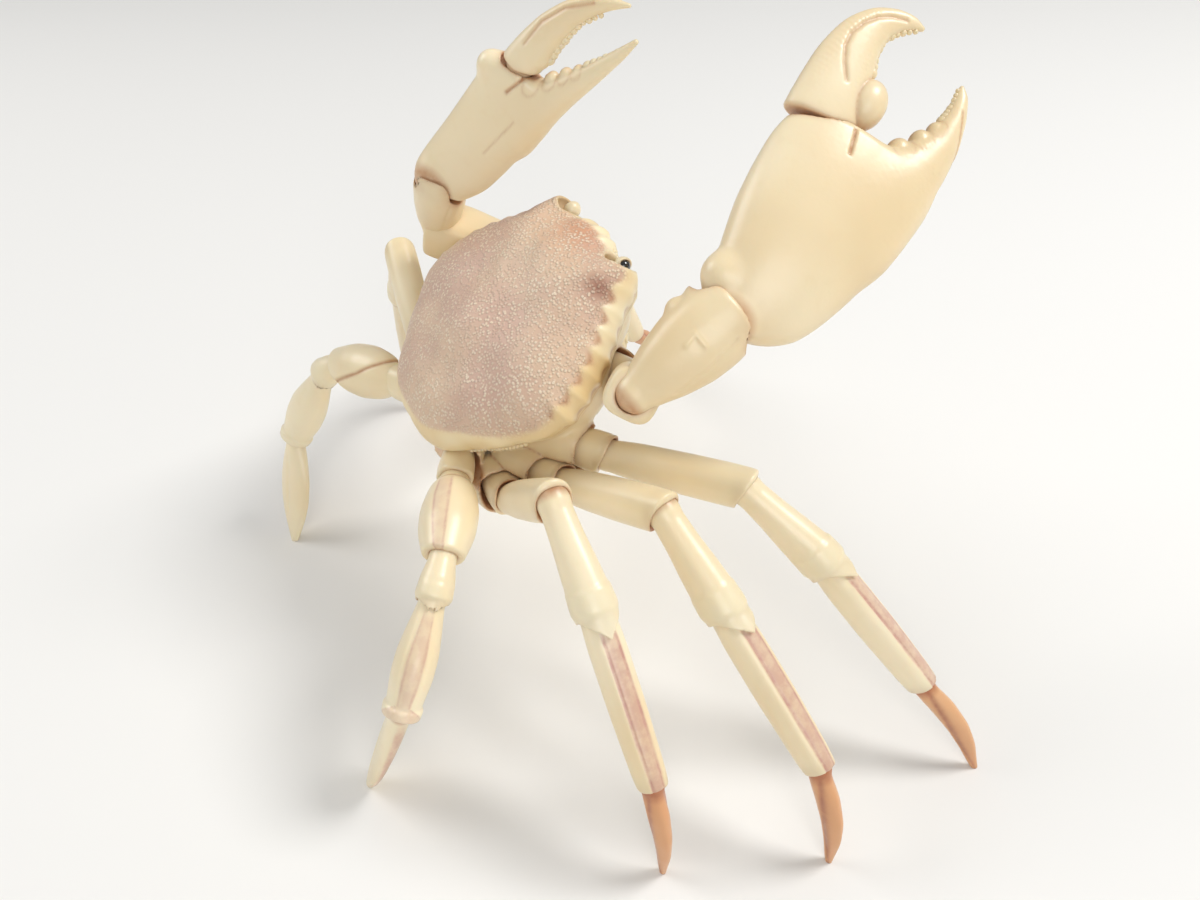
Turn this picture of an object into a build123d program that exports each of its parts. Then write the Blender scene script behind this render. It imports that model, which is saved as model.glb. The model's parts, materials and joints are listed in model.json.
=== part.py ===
from build123d import *
import os
from math import asin, cos, degrees, radians, sin

os.makedirs("parts", exist_ok=True)

# Jointed crab ornament, in millimetres. +Z is up, the crab faces -Y and its right side is -X.
# The feet stand on Z = 0, and the crab rears up with both claws raised.

# The body: one plane carries the shell, the belly and every limb.
carapace_length = 44.0
carapace_width = 46.0
dome_height = 7.2
rim_depth = 5.0
body_height = 54.9
hip_depth = 13.0
pitch_angle = 37.5
roll_angle = 11.0
half_width = carapace_width / 2
half_length = carapace_length / 2

# The right half of the shell's outline, as shares of half its width and half its length.
outline_shares = [
    (0.0, 0.99), (0.12, 0.98), (0.25, 0.945), (0.37, 0.86), (0.46, 0.91), (0.52, 0.97),
    (0.57, 0.82), (0.64, 0.70), (0.74, 0.56), (0.83, 0.43), (0.90, 0.29), (0.96, 0.14),
    (1.0, -0.02), (0.80, -0.43), (0.56, -0.72), (0.33, -0.965), (0.17, -1.0), (0.0, -1.0),
]
# Where the outline dips for an eye, how far forward the dome above it reaches.
orbit_fill_shares = {0.37: 0.94, 0.46: 0.95}
# Each layer of the dome: its size as a share of the outline and its height as a share of the dome.
dome_layer_shares = [(0.90, None), (1.0, -0.14), (0.94, 0.35), (0.78, 0.76), (0.48, 1.0)]
tooth_count = 7
tooth_radius = 0.9
# A tooth that the left claw's socket would cut loose from the shell, counted from the front.
teeth_left_out = {("left", 3)}

# The belly block under the shell, and what is cut or built on it.
belly_depth = 14.0
belly_shares = [(0.0, 0.66), (0.36, 0.66), (0.62, 0.44), (0.78, 0.06), (0.76, -0.28), (0.66, -0.60),
                (0.46, -0.84), (0.20, -0.90), (0.0, -0.90)]
belly_floor_share = 0.84
seat_gap = 0.15
hip_room = 0.7

# Hinges: a round knuckle between two cheeks on a pin. One row of sizes per kind of joint.
running_gap = 0.12
pin_gap = 0.05
pin_seat_gap = 0.01
hinge_play = 0.10
overrun = 2.0

claw_hinge = {"knuckle": 2.6, "tongue": 3.6, "cheek": 1.1, "ear": 2.45, "pin": 0.8}
leg_hinge = {"knuckle": 2.4, "tongue": 3.0, "cheek": 0.95, "ear": 2.2, "pin": 0.65}
toe_hinge = {"knuckle": 1.7, "tongue": 2.1, "cheek": 0.8, "ear": 1.55, "pin": 0.5}
paddle_hinge = {"knuckle": 1.9, "tongue": 2.8, "cheek": 0.9, "ear": 1.75, "pin": 0.55}

# How far each joint turns from the pose it rests in, low and high. A limb swings forward (high)
# or back (low) until it would meet its neighbour.
swing_angles = {
    ("right", "first"): (-8.0, 12.0),
    ("right", "second"): (-12.0, 1.5),
    ("right", "third"): (-12.0, 4.0),
    ("right", "paddle"): (-5.0, 12.0),
    ("left", "first"): (-10.0, 12.0),
    ("left", "second"): (-8.0, 6.0),
    ("left", "third"): (-12.0, 5.0),
    ("left", "paddle"): (-4.0, 5.0),
}
claw_swing_angles = {"right": (-12.0, 12.0), "left": (-12.0, 1.0)}
claw_shoulder_angles = {"right": (-20.0, 12.0), "left": (-20.0, 0.5)}
claw_elbow_angles = {"right": (-20.0, 10.0), "left": (-20.0, 10.0)}
claw_wrist_angles = {"right": (-20.0, 15.0), "left": (-20.0, 15.0)}
lift_angles = (-20.0, 20.0)
knee_angles = (-20.0, 20.0)
wrist_angles = (-20.0, 3.0)
toe_angles = (-20.0, 20.0)
paddle_knee_angles = (-10.0, 20.0)
paddle_wrist_angles = (-10.0, 5.0)
paddle_toe_angles = (-8.0, 20.0)
finger_low_angle = {"right": -26.0, "left": -10.0}
finger_high_angle = {"right": 8.0, "left": 20.0}
mouth_play_angle = 3.0

# Walking legs: the lengths of the four free pieces and of the hip block.
hip_block_length = 7.0
merus_length = 23.0
carpus_length = 15.5
propodus_length = 25.0
dactyl_length = 18.3
leg_half_height = 2.9
leg_half_thickness = 2.7
leg_flare = 0.5
shin_half_height = 3.05
foot_half_height = 2.15
foot_half_thickness = 1.75
tip_radius = 0.55
tip_curve = 1.3
foot_overrun = 0.5

# The paddle legs at the back.
paddle_merus_length = 16.5
paddle_carpus_length = 6.3
paddle_propodus_length = 17.0
paddle_length = 22.4
paddle_half_width = 4.7
paddle_half_thickness = 1.5
paddle_leg_half_height = 2.4
paddle_leg_half_thickness = 2.4
paddle_merus_half = 4.9
paddle_propodus_half = 4.7
paddle_propodus_half_thickness = 3.4
# The paddle widens soon after its hinge, so its socket opens wider on the low side.
paddle_spread_share = 1.45

# Where each hip is, as shares of half the shell's width, half its length and the hip depth.
hip_shares = {
    "first": (1.03, -0.055, -0.945),
    "second": (0.975, -0.435, -0.865),
    "third": (0.82, -0.80, -0.74),
    "paddle": (0.565, -0.985, -0.25),
}
# Each leg's heading, forward of straight sideways, how far its plane leans, and how far the hip
# block, the merus and the carpus rise from level. The last two pieces follow from the foot height.
leg_angles = {
    ("right", "first"): (40.0, 2.0, 0.0, 4.5, -37.0),
    ("right", "second"): (22.0, -2.5, 6.0, 18.5, -40.0),
    ("right", "third"): (5.5, 0.0, 12.0, 36.0, -40.0),
    ("right", "paddle"): (-19.0, -23.0, 0.0, -3.0, -34.0),
    ("left", "first"): (55.0, 0.0, -10.0, -12.0, -30.0),
    ("left", "second"): (16.0, 0.0, 0.0, 12.0, -42.0),
    ("left", "third"): (3.0, 0.0, 14.0, 34.0, -56.0),
    ("left", "paddle"): (-27.0, 21.0, -4.0, -9.0, -37.0),
}
foot_height = {
    ("right", "first"): 15.1,
    ("right", "second"): 17.8,
    ("right", "third"): 18.1,
    ("right", "paddle"): 20.5,
    ("left", "first"): 14.0,
    ("left", "second"): 17.6,
    ("left", "third"): 18.0,
    ("left", "paddle"): 20.7,
}

# Claws: lengths, then the way each piece points, as unit shares of the X, Y and Z axes.
claw_root_shares = (0.80, 0.42, -0.78)
claw_block_length = 7.5
claw_merus_length = {"right": 18.6, "left": 18.1}
claw_carpus_length = {"right": 16.1, "left": 13.6}
palm_length = {"right": 30.5, "left": 26.0}
# How much wider the carpus swells than its hinge.
carpus_swell_share = {"right": 2.05, "left": 1.6}
# How much wider the elbow's socket opens on the side that the carpus folds towards.
elbow_spread_share = 1.4
block_way_shares = {"right": (-0.95, -0.22, 0.10), "left": (0.95, -0.10, 0.28)}
merus_way_shares = {"right": (-0.82, 0.32, 0.48), "left": (0.55, 0.79, 0.27)}
carpus_way_shares = {"right": (0.02, -0.845, 0.535), "left": (-0.48, -0.03, 0.88)}
palm_way_shares = {"right": (0.366, -0.671, 0.645), "left": (-0.456, -0.477, 0.752)}
palm_face_shares = {"right": (-0.80, 0.13, 0.59), "left": (-0.758, 0.648, 0.073)}

# Palms and fingers, in their own plane: along the palm from the wrist to the finger's hinge, then
# across it. Each section holds its two edges, then its thickness, as shares of the palm's length.
palm_sections_shares = {
    "right": [(0.0, 0.09, -0.28, 0.17), (0.11, 0.15, -0.39, 0.26), (0.31, 0.185, -0.46, 0.34),
              (0.49, 0.21, -0.51, 0.36), (0.66, 0.21, -0.55, 0.35), (0.84, 0.20, -0.585, 0.30),
              (0.98, 0.12, -0.59, 0.23)],
    "left": [(0.0, 0.11, -0.14, 0.18), (0.14, 0.16, -0.27, 0.24), (0.36, 0.17, -0.31, 0.28),
             (0.60, 0.17, -0.33, 0.28), (0.84, 0.165, -0.335, 0.25), (0.98, 0.11, -0.34, 0.21)],
}
thumb_sections_shares = {
    "right": [(0.80, -0.20, -0.59, 0.26), (1.0, -0.27, -0.595, 0.22), (1.15, -0.38, -0.59, 0.16),
              (1.32, -0.46, -0.565, 0.10), (1.47, -0.49, -0.52, 0.045)],
    "left": [(0.78, -0.08, -0.335, 0.22), (1.0, -0.16, -0.35, 0.19), (1.18, -0.22, -0.375, 0.14),
             (1.38, -0.31, -0.405, 0.09), (1.60, -0.40, -0.43, 0.04)],
}
finger_sections_shares = {
    "right": [(0.0, 0.20, -0.13, 0.20), (0.12, 0.215, -0.13, 0.20), (0.27, 0.205, -0.09, 0.17),
              (0.41, 0.165, -0.06, 0.13), (0.53, 0.085, -0.09, 0.09), (0.62, -0.09, -0.19, 0.045)],
    "left": [(0.0, 0.11, -0.11, 0.19), (0.10, 0.115, -0.12, 0.18), (0.29, 0.085, -0.10, 0.14),
             (0.48, -0.01, -0.125, 0.10), (0.62, -0.13, -0.19, 0.06), (0.71, -0.245, -0.285, 0.035)],
}
# How far the wrist and the finger reach across on the low and high side, as shares of the palm.
wrist_reach_shares = {"right": (0.31, 0.15), "left": (0.17, 0.19)}
finger_reach_shares = {"right": (0.165, 0.225), "left": (0.14, 0.135)}

# Eyes, mouth plates and the tail flap folded under the belly.
eye_share = (0.31, 0.80)
eye_way_shares = (0.50, 0.87)
eye_stalk_length = 3.4
eye_stalk_radius = 1.35
eye_bead_radius = 1.15
eye_pin_radius = 0.4
eye_low_angle = -12.0
eye_high_angle = 15.0
mouth_plate_width = 5.2
mouth_plate_length = 9.0
mouth_plate_thickness = 1.5
mouth_knuckle_radius = 1.0
mouth_knuckle_length = 4.0
mouth_open_angle = 30.0
mouth_hinge_share = 0.42
flap_length = 15.0
flap_width = 8.0
flap_tip_share = 0.35
flap_thickness = 1.6
flap_knuckle_radius = 1.2
flap_knuckle_length = 4.6
flap_open_angle = 35.0
small_pin_radius = 0.45
small_lug_thickness = 1.0

pitch = radians(pitch_angle)
roll = radians(roll_angle)
right_way = Vector(-cos(roll), -sin(pitch) * sin(roll), -cos(pitch) * sin(roll))
dorsal_way = Vector(-sin(roll), sin(pitch) * cos(roll), cos(pitch) * cos(roll))
body = Plane(origin=(0, 0, body_height), x_dir=right_way, z_dir=dorsal_way)
world_up = Vector(0, 0, 1)


def body_point(x, y, z):
    return body.from_local_coords(Vector(x, y, z))


def cut_round(plane, radius, half):
    """Cut a cylinder centred on the plane, half its length to each side."""
    with BuildSketch(plane) as disc:
        Circle(radius)
    extrude(disc.sketch, amount=half, both=True, mode=Mode.SUBTRACT)


def add_round(plane, radius, half):
    """Add a cylinder centred on the plane, half its length to each side."""
    with BuildSketch(plane) as disc:
        Circle(radius)
    extrude(disc.sketch, amount=half, both=True)


def add_pin(plane, hinge):
    """A separate pin through both cheeks, in holes that just hold it."""
    half = cheek_half(hinge)
    cut_round(plane, hinge["pin"] + pin_seat_gap, half + overrun)
    add_round(plane, hinge["pin"], half)


def cheek_half(hinge):
    return hinge["tongue"] / 2 + hinge_play + hinge["cheek"]


def turned(plane, angle):
    """The direction in the plane at this angle from its X axis."""
    return plane.x_dir * cos(radians(angle)) + plane.y_dir * sin(radians(angle))


def cut_mouth(plane, low, high, reach, span, depth):
    """Cut the space that a limb sweeps. Its reach is one value, or the low and the high side's."""
    reach_low, reach_high = (reach, reach) if scalar(reach) else reach
    low = low - mouth_play_angle
    high = high + mouth_play_angle
    steps = [low, (2 * low + high) / 3, (low + 2 * high) / 3, high]
    corners = [turned(plane, low - 90) * reach_low]
    corners += [corners[0] + turned(plane, low) * span]
    corners += [turned(plane, step) * span * 1.3 for step in steps[1:3]]
    corners += [turned(plane, high + 90) * reach_high + turned(plane, high) * span]
    corners += [turned(plane, high + 90) * reach_high]
    spots = [plane.to_local_coords(plane.origin + corner) for corner in corners]
    with BuildSketch(plane) as mouth:
        with BuildLine():
            Polyline(*[(spot.X, spot.Y) for spot in spots], close=True)
        make_face()
    extrude(mouth.sketch, amount=depth, both=True, mode=Mode.SUBTRACT)


def scalar(reach):
    return not isinstance(reach, tuple)


def cut_socket(plane, hinge, low, high, reach, span):
    """The far end of a piece: mouth, two cheeks and the slot for the next piece's knuckle."""
    cut_mouth(plane, low, high, reach, span, span)
    add_round(plane, hinge["ear"], cheek_half(hinge))
    cut_round(plane, hinge["knuckle"] + running_gap, hinge["tongue"] / 2 + hinge_play)


def add_knuckle(plane, hinge, width):
    """The near end of a piece: shoulders cut clear of the cheeks, a round knuckle and its bore."""
    tongue = hinge["tongue"] / 2
    for side in (1, -1):
        with BuildSketch(plane.offset(side * tongue)) as shoulder:
            Circle(hinge["ear"] + running_gap)
        extrude(shoulder.sketch, amount=side * (width + overrun), mode=Mode.SUBTRACT)
    add_round(plane, hinge["knuckle"], tongue)
    cut_round(plane, hinge["pin"] + pin_gap, tongue + overrun)


def ellipse_section(plane, distance, half_thickness, half_height, lift):
    """One cross-section of a limb, square to the plane's X axis."""
    centre = plane.from_local_coords(Vector(distance, lift, 0))
    with BuildSketch(Plane(origin=centre, x_dir=plane.z_dir, z_dir=plane.x_dir)) as section:
        Ellipse(half_thickness, half_height)
    return section.sketch


def limb(name, root, root_hinge, sections, tip=None, tip_hinge=None, low=0, high=0, reach=0):
    """One piece of a limb: a lofted shaft with a knuckle at its root and a socket at its tip."""
    with BuildPart() as piece:
        loft([ellipse_section(root, *section) for section in sections])
        if tip:
            cut_socket(tip, tip_hinge, low, high, reach, 3 * (reach if scalar(reach) else max(reach)))
        add_knuckle(root, root_hinge, 3 * root_hinge["ear"])
        drop_crumbs(piece)
        if tip:
            add_pin(tip, tip_hinge)
    finish(piece, name)


def drop_crumbs(piece):
    """Remove any crumb that the cuts left loose, and keep the largest solid."""
    for crumb in piece.solids().sort_by(SortBy.VOLUME)[:-1]:
        add(crumb, mode=Mode.SUBTRACT)


def finish(piece, name):
    piece.part.label = name
    export_step(piece.part, f"parts/{name}.step")


def shaft_sections(length, hinge, thickness, height, middle_thickness, middle_height, flare, hood):
    """Four cross-sections of a shaft: at its root, its middle, its tip hinge and its hood."""
    return [
        (0, hinge["tongue"] / 2 + hinge["cheek"], hinge["knuckle"], 0),
        (length * 0.22, thickness, height, 0),
        (length * 0.62, middle_thickness, middle_height, 0),
        (length, thickness + flare * 0.4, height + flare, 0),
        (length + hood, thickness * 0.85, height * 0.85, 0),
    ]


# Shell: a domed cap in flat facets, carved from one block, with orbit notches and blunt side teeth.
def outline_points(share, has_orbits):
    """The shell's outline at one size. Above the rim, the two orbit notches are filled."""
    shares = [(x, y if has_orbits else max(y, orbit_fill_shares.get(x, y))) for x, y in outline_shares]
    right = [(x * half_width * share, y * half_length * share) for x, y in shares]
    left = [(-x, y) for x, y in right[-2:0:-1]]
    return right + left


def dome_layers(layer_shares):
    """The outline at each height. A layer with no height share lies at the rim's lower edge."""
    layers = []
    for size_share, height_share in layer_shares:
        height = -rim_depth if height_share is None else dome_height * height_share
        with BuildSketch(body.offset(height)) as layer:
            with BuildLine():
                Polyline(*outline_points(size_share, height <= 0), close=True)
            make_face()
        layers.append(layer.sketch)
    return layers


leg_sides = [(side, leg) for side in ("right", "left") for leg in hip_shares]


def leg_frame(side, leg):
    """Where a leg's joints are, the way each piece points, and the normal of the leg's plane."""
    sign = 1 if side == "right" else -1
    heading, lean, block_rise, merus_rise, carpus_rise = leg_angles[(side, leg)]
    out = Vector(-sign * cos(radians(heading)), -sin(radians(heading)), 0)
    across = out.cross(world_up)
    up = world_up * cos(radians(lean)) + across * sin(radians(lean))
    normal = out.cross(up)
    lengths = [merus_length, carpus_length, propodus_length, dactyl_length]
    if leg == "paddle":
        lengths = [paddle_merus_length, paddle_carpus_length, paddle_propodus_length, paddle_length]
    x, y, z = hip_shares[leg]
    hip = body_point(sign * x * half_width, y * half_length, z * hip_depth)
    block_way = out * cos(radians(block_rise)) + up * sin(radians(block_rise))
    joints = [hip - block_way * hip_block_length, hip]
    ways = [block_way]
    rises = [merus_rise, carpus_rise]
    for rise, length in zip(rises, lengths):
        ways.append(out * cos(radians(rise)) + up * sin(radians(rise)))
        joints.append(joints[-1] + ways[-1] * length)
    for drop, length in ((joints[-1].Z - foot_height[(side, leg)], lengths[2]),
                         (foot_height[(side, leg)], lengths[3])):
        rise = -degrees(asin(drop / length / cos(radians(lean))))
        if leg == "paddle" and len(rises) == 3:
            rise = -180 - rise
        rises.append(rise)
        ways.append(out * cos(radians(rise)) + up * sin(radians(rise)))
        joints.append(joints[-1] + ways[-1] * length)
    return joints, ways, normal, [block_rise] + rises


def claw_frame(side):
    """Where a claw's joints are, the way each piece points, and the axis of each joint."""
    sign = 1 if side == "right" else -1
    x, y, z = claw_root_shares
    ways = [Vector(*shares[side]).normalized() for shares in
            (block_way_shares, merus_way_shares, carpus_way_shares, palm_way_shares)]
    lengths = [claw_block_length, claw_merus_length[side], claw_carpus_length[side], palm_length[side]]
    root = body_point(sign * x * half_width, y * half_length, z * hip_depth)
    joints = [root - ways[0] * claw_block_length]
    for way, length in zip(ways, lengths):
        joints.append(joints[-1] + way * length)
    palm_face = Vector(*palm_face_shares[side])
    palm_face = (palm_face - ways[3] * palm_face.dot(ways[3])).normalized()
    hip_axis = ways[0].cross(ways[1]).normalized()
    swing_axis = ways[0].cross(hip_axis).normalized()
    axes = [swing_axis, hip_axis, ways[1].cross(ways[2]).normalized(),
            ways[2].cross(ways[3]).normalized(), palm_face]
    return joints, ways, axes


def hip_planes():
    """The socket plane and hinge of every limb that the belly carries, and its swing about the plane."""
    planes = []
    for side, leg in leg_sides:
        joints, ways, normal, rises = leg_frame(side, leg)
        swing_axis = normal.cross(ways[0])
        hinge = paddle_hinge if leg == "paddle" else leg_hinge
        back, forward = swing_angles[(side, leg)]
        swing = (back, forward) if side == "right" else (-forward, -back)
        planes.append((Plane(origin=joints[0], x_dir=ways[0], z_dir=swing_axis), hinge, swing))
    for side in ("right", "left"):
        joints, ways, axes = claw_frame(side)
        plane = Plane(origin=joints[0], x_dir=ways[0], z_dir=axes[0])
        planes.append((plane, claw_hinge, claw_swing_angles[side]))
    return planes


def hip_reach(hinge):
    return hinge["tongue"] / 2 + hinge["cheek"] + hip_room


def boss_radius(hinge):
    return hinge["knuckle"] + hinge["cheek"]


hips = hip_planes()
eye_x = eye_share[0] * half_width
eye_y = eye_share[1] * half_length
eye_half = eye_stalk_radius + running_gap


def eye_plane(sign):
    way = right_way * (sign * eye_way_shares[0]) + body.y_dir * eye_way_shares[1]
    return Plane(origin=body_point(sign * eye_x, eye_y, 0), x_dir=way, z_dir=dorsal_way)


with BuildPart() as carapace:
    loft(dome_layers(dome_layer_shares), ruled=True)
    for side, sign in (("right", 1), ("left", -1)):
        for step in range(tooth_count):
            if (side, step) in teeth_left_out:
                continue
            x, y = outline_shares[6 + step]
            spot = body_point(sign * x * half_width, y * half_length, -dome_height * 0.14)
            with Locations(spot):
                Sphere(tooth_radius)
        cut_round(eye_plane(sign), eye_stalk_radius + running_gap, eye_half)
        cut_mouth(eye_plane(sign), eye_low_angle, eye_high_angle, eye_half, 1.6 * eye_stalk_length,
                  eye_half)
    for plane, hinge, swing in hips:
        cut_round(plane, boss_radius(hinge) + seat_gap, cheek_half(hinge) + seat_gap)
        cut_mouth(plane, *swing, hip_reach(hinge) + seat_gap, hip_block_length,
                  hip_reach(hinge) + seat_gap)
    drop_crumbs(carapace)
finish(carapace, "carapace")


# Belly: the block that closes the shell from below and carries every limb's hip.
def belly_points(share):
    right = [(x * half_width * share, y * half_length * share) for x, y in belly_shares]
    return right + [(-x, y) for x, y in right[-2:0:-1]]


flap_hinge_y = -half_length * belly_floor_share * 0.90 - flap_knuckle_radius - seat_gap
flap_hinge_z = -belly_depth - flap_thickness / 2 - seat_gap
flap_plane = Plane(origin=body_point(0, flap_hinge_y, flap_hinge_z), x_dir=body.y_dir, z_dir=right_way)
mouth_y = half_length * mouth_hinge_share
mouth_z = -belly_depth - mouth_knuckle_radius - seat_gap
mouth_x = mouth_plate_width + mouth_knuckle_radius + 2 * seat_gap


def mouth_plane(sign):
    return Plane(origin=body_point(sign * mouth_x, mouth_y, mouth_z), x_dir=right_way * -sign,
                 z_dir=body.y_dir)


def lug_pair(plane, radius, knuckle_length, back, thickness):
    """Two lugs with a pin hole, either side of a small knuckle, with feet that reach back."""
    for side in (1, -1):
        start = side * (knuckle_length / 2 + hinge_play)
        with BuildSketch(plane.offset(start)) as lug:
            Circle(radius)
            foot = plane.to_local_coords(plane.origin + back)
            with BuildLine():
                Polyline((foot.Y * radius / back.length, -foot.X * radius / back.length),
                         (foot.X + foot.Y * radius / back.length, foot.Y - foot.X * radius / back.length),
                         (foot.X - foot.Y * radius / back.length, foot.Y + foot.X * radius / back.length),
                         (-foot.Y * radius / back.length, foot.X * radius / back.length), close=True)
            make_face()
        extrude(lug.sketch, amount=side * thickness)
    cut_round(plane, small_pin_radius + pin_seat_gap, knuckle_length)


with BuildPart() as belly:
    with BuildSketch(body.offset(-rim_depth - seat_gap)) as belly_top:
        with BuildLine():
            Polyline(*belly_points(1), close=True)
        make_face()
    with BuildSketch(body.offset(-belly_depth)) as belly_floor:
        with BuildLine():
            Polyline(*belly_points(belly_floor_share), close=True)
        make_face()
    loft([belly_top.sketch, belly_floor.sketch], ruled=True)
    for plane, hinge, swing in hips:
        add_round(plane, boss_radius(hinge), cheek_half(hinge))
    for plane, hinge, swing in hips:
        cut_mouth(plane, *swing, hip_reach(hinge), hip_block_length, hip_block_length)
    for plane, hinge, swing in hips:
        add_round(plane, hinge["ear"], cheek_half(hinge))
    for plane, hinge, swing in hips:
        cut_round(plane, hinge["knuckle"] + running_gap, hinge["tongue"] / 2 + hinge_play)
        cut_round(plane, hinge["pin"] + pin_seat_gap, cheek_half(hinge) + overrun)
    lug_pair(flap_plane, flap_knuckle_radius, flap_knuckle_length, dorsal_way * flap_thickness * 1.5,
             small_lug_thickness)
    for sign in (1, -1):
        lug_pair(mouth_plane(sign), mouth_knuckle_radius, mouth_knuckle_length,
                 dorsal_way * mouth_plate_thickness * 1.5, small_lug_thickness)
    drop_crumbs(belly)
finish(belly, "belly_plate")

# Pins that the belly and the shell hold: ten hips, the tail flap, the mouth plates and the eyes.
with BuildPart() as body_pins:
    for plane, hinge, swing in hips:
        add_round(plane, hinge["pin"], cheek_half(hinge))
    add_round(flap_plane, small_pin_radius, flap_knuckle_length / 2 + small_lug_thickness)
    for sign in (1, -1):
        add_round(mouth_plane(sign), small_pin_radius, mouth_knuckle_length / 2 + small_lug_thickness)
        add_round(eye_plane(sign), eye_pin_radius, eye_half)
finish(body_pins, "body_hinge_pins")

# Tail flap: a tapering plate folded under the belly, on a pin at its back edge.
with BuildPart() as flap:
    with BuildSketch(Plane(origin=flap_plane.origin, x_dir=right_way, z_dir=dorsal_way)) as plate:
        with BuildLine():
            start = flap_knuckle_radius + running_gap
            Polyline((-flap_width / 2, start), (flap_width / 2, start),
                     (flap_width / 2 * flap_tip_share, flap_length),
                     (-flap_width / 2 * flap_tip_share, flap_length), close=True)
        make_face()
    extrude(plate.sketch, amount=flap_thickness / 2, both=True)
    with BuildSketch(flap_plane) as neck:
        with Locations((flap_knuckle_radius, 0)):
            Rectangle(2 * flap_knuckle_radius, flap_thickness)
    extrude(neck.sketch, amount=flap_knuckle_length / 2, both=True)
    add_round(flap_plane, flap_knuckle_radius, flap_knuckle_length / 2)
    cut_round(flap_plane, small_pin_radius + pin_gap, flap_knuckle_length)
finish(flap, "tail_flap")

# Mouth plates: two doors that open outward from the middle line.
for side, sign in (("right", 1), ("left", -1)):
    plane = mouth_plane(sign)
    with BuildPart() as door:
        with BuildSketch(plane) as profile:
            Circle(mouth_knuckle_radius)
            with Locations((mouth_plate_width / 2 + mouth_knuckle_radius / 2, 0)):
                Rectangle(mouth_plate_width + mouth_knuckle_radius, mouth_plate_thickness)
        extrude(profile.sketch, amount=mouth_plate_length / 2, both=True)
        for end in (1, -1):
            with BuildSketch(plane.offset(end * mouth_knuckle_length / 2)) as relief:
                Rectangle(2 * (mouth_knuckle_radius + running_gap), 2 * (mouth_knuckle_radius + running_gap))
            extrude(relief.sketch, amount=end * mouth_plate_length, mode=Mode.SUBTRACT)
        cut_round(plane, small_pin_radius + pin_gap, mouth_plate_length)
    finish(door, f"{side}_mouth_plate")

# Eyes: a short stalk on a pin in its orbit, with a bead set in the stalk's end.
for side, sign in (("right", 1), ("left", -1)):
    plane = eye_plane(sign)
    bead_centre = plane.origin + plane.x_dir * eye_stalk_length
    end_plane = Plane(origin=plane.origin, x_dir=dorsal_way, z_dir=plane.x_dir)
    with BuildPart() as stalk:
        with BuildSketch(end_plane) as round_stalk:
            Circle(eye_stalk_radius * 0.95)
        extrude(round_stalk.sketch, amount=eye_stalk_length)
        with Locations(Location(plane)):
            Cylinder(eye_stalk_radius, 2 * eye_stalk_radius)
        with Locations(bead_centre):
            Sphere(eye_bead_radius + pin_seat_gap, mode=Mode.SUBTRACT)
        cut_round(plane, eye_pin_radius + pin_gap, 2 * eye_stalk_radius)
    finish(stalk, f"{side}_eyestalk")
    with BuildPart() as bead:
        with Locations(bead_centre):
            Sphere(eye_bead_radius)
    finish(bead, f"{side}_eye_bead")

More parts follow.
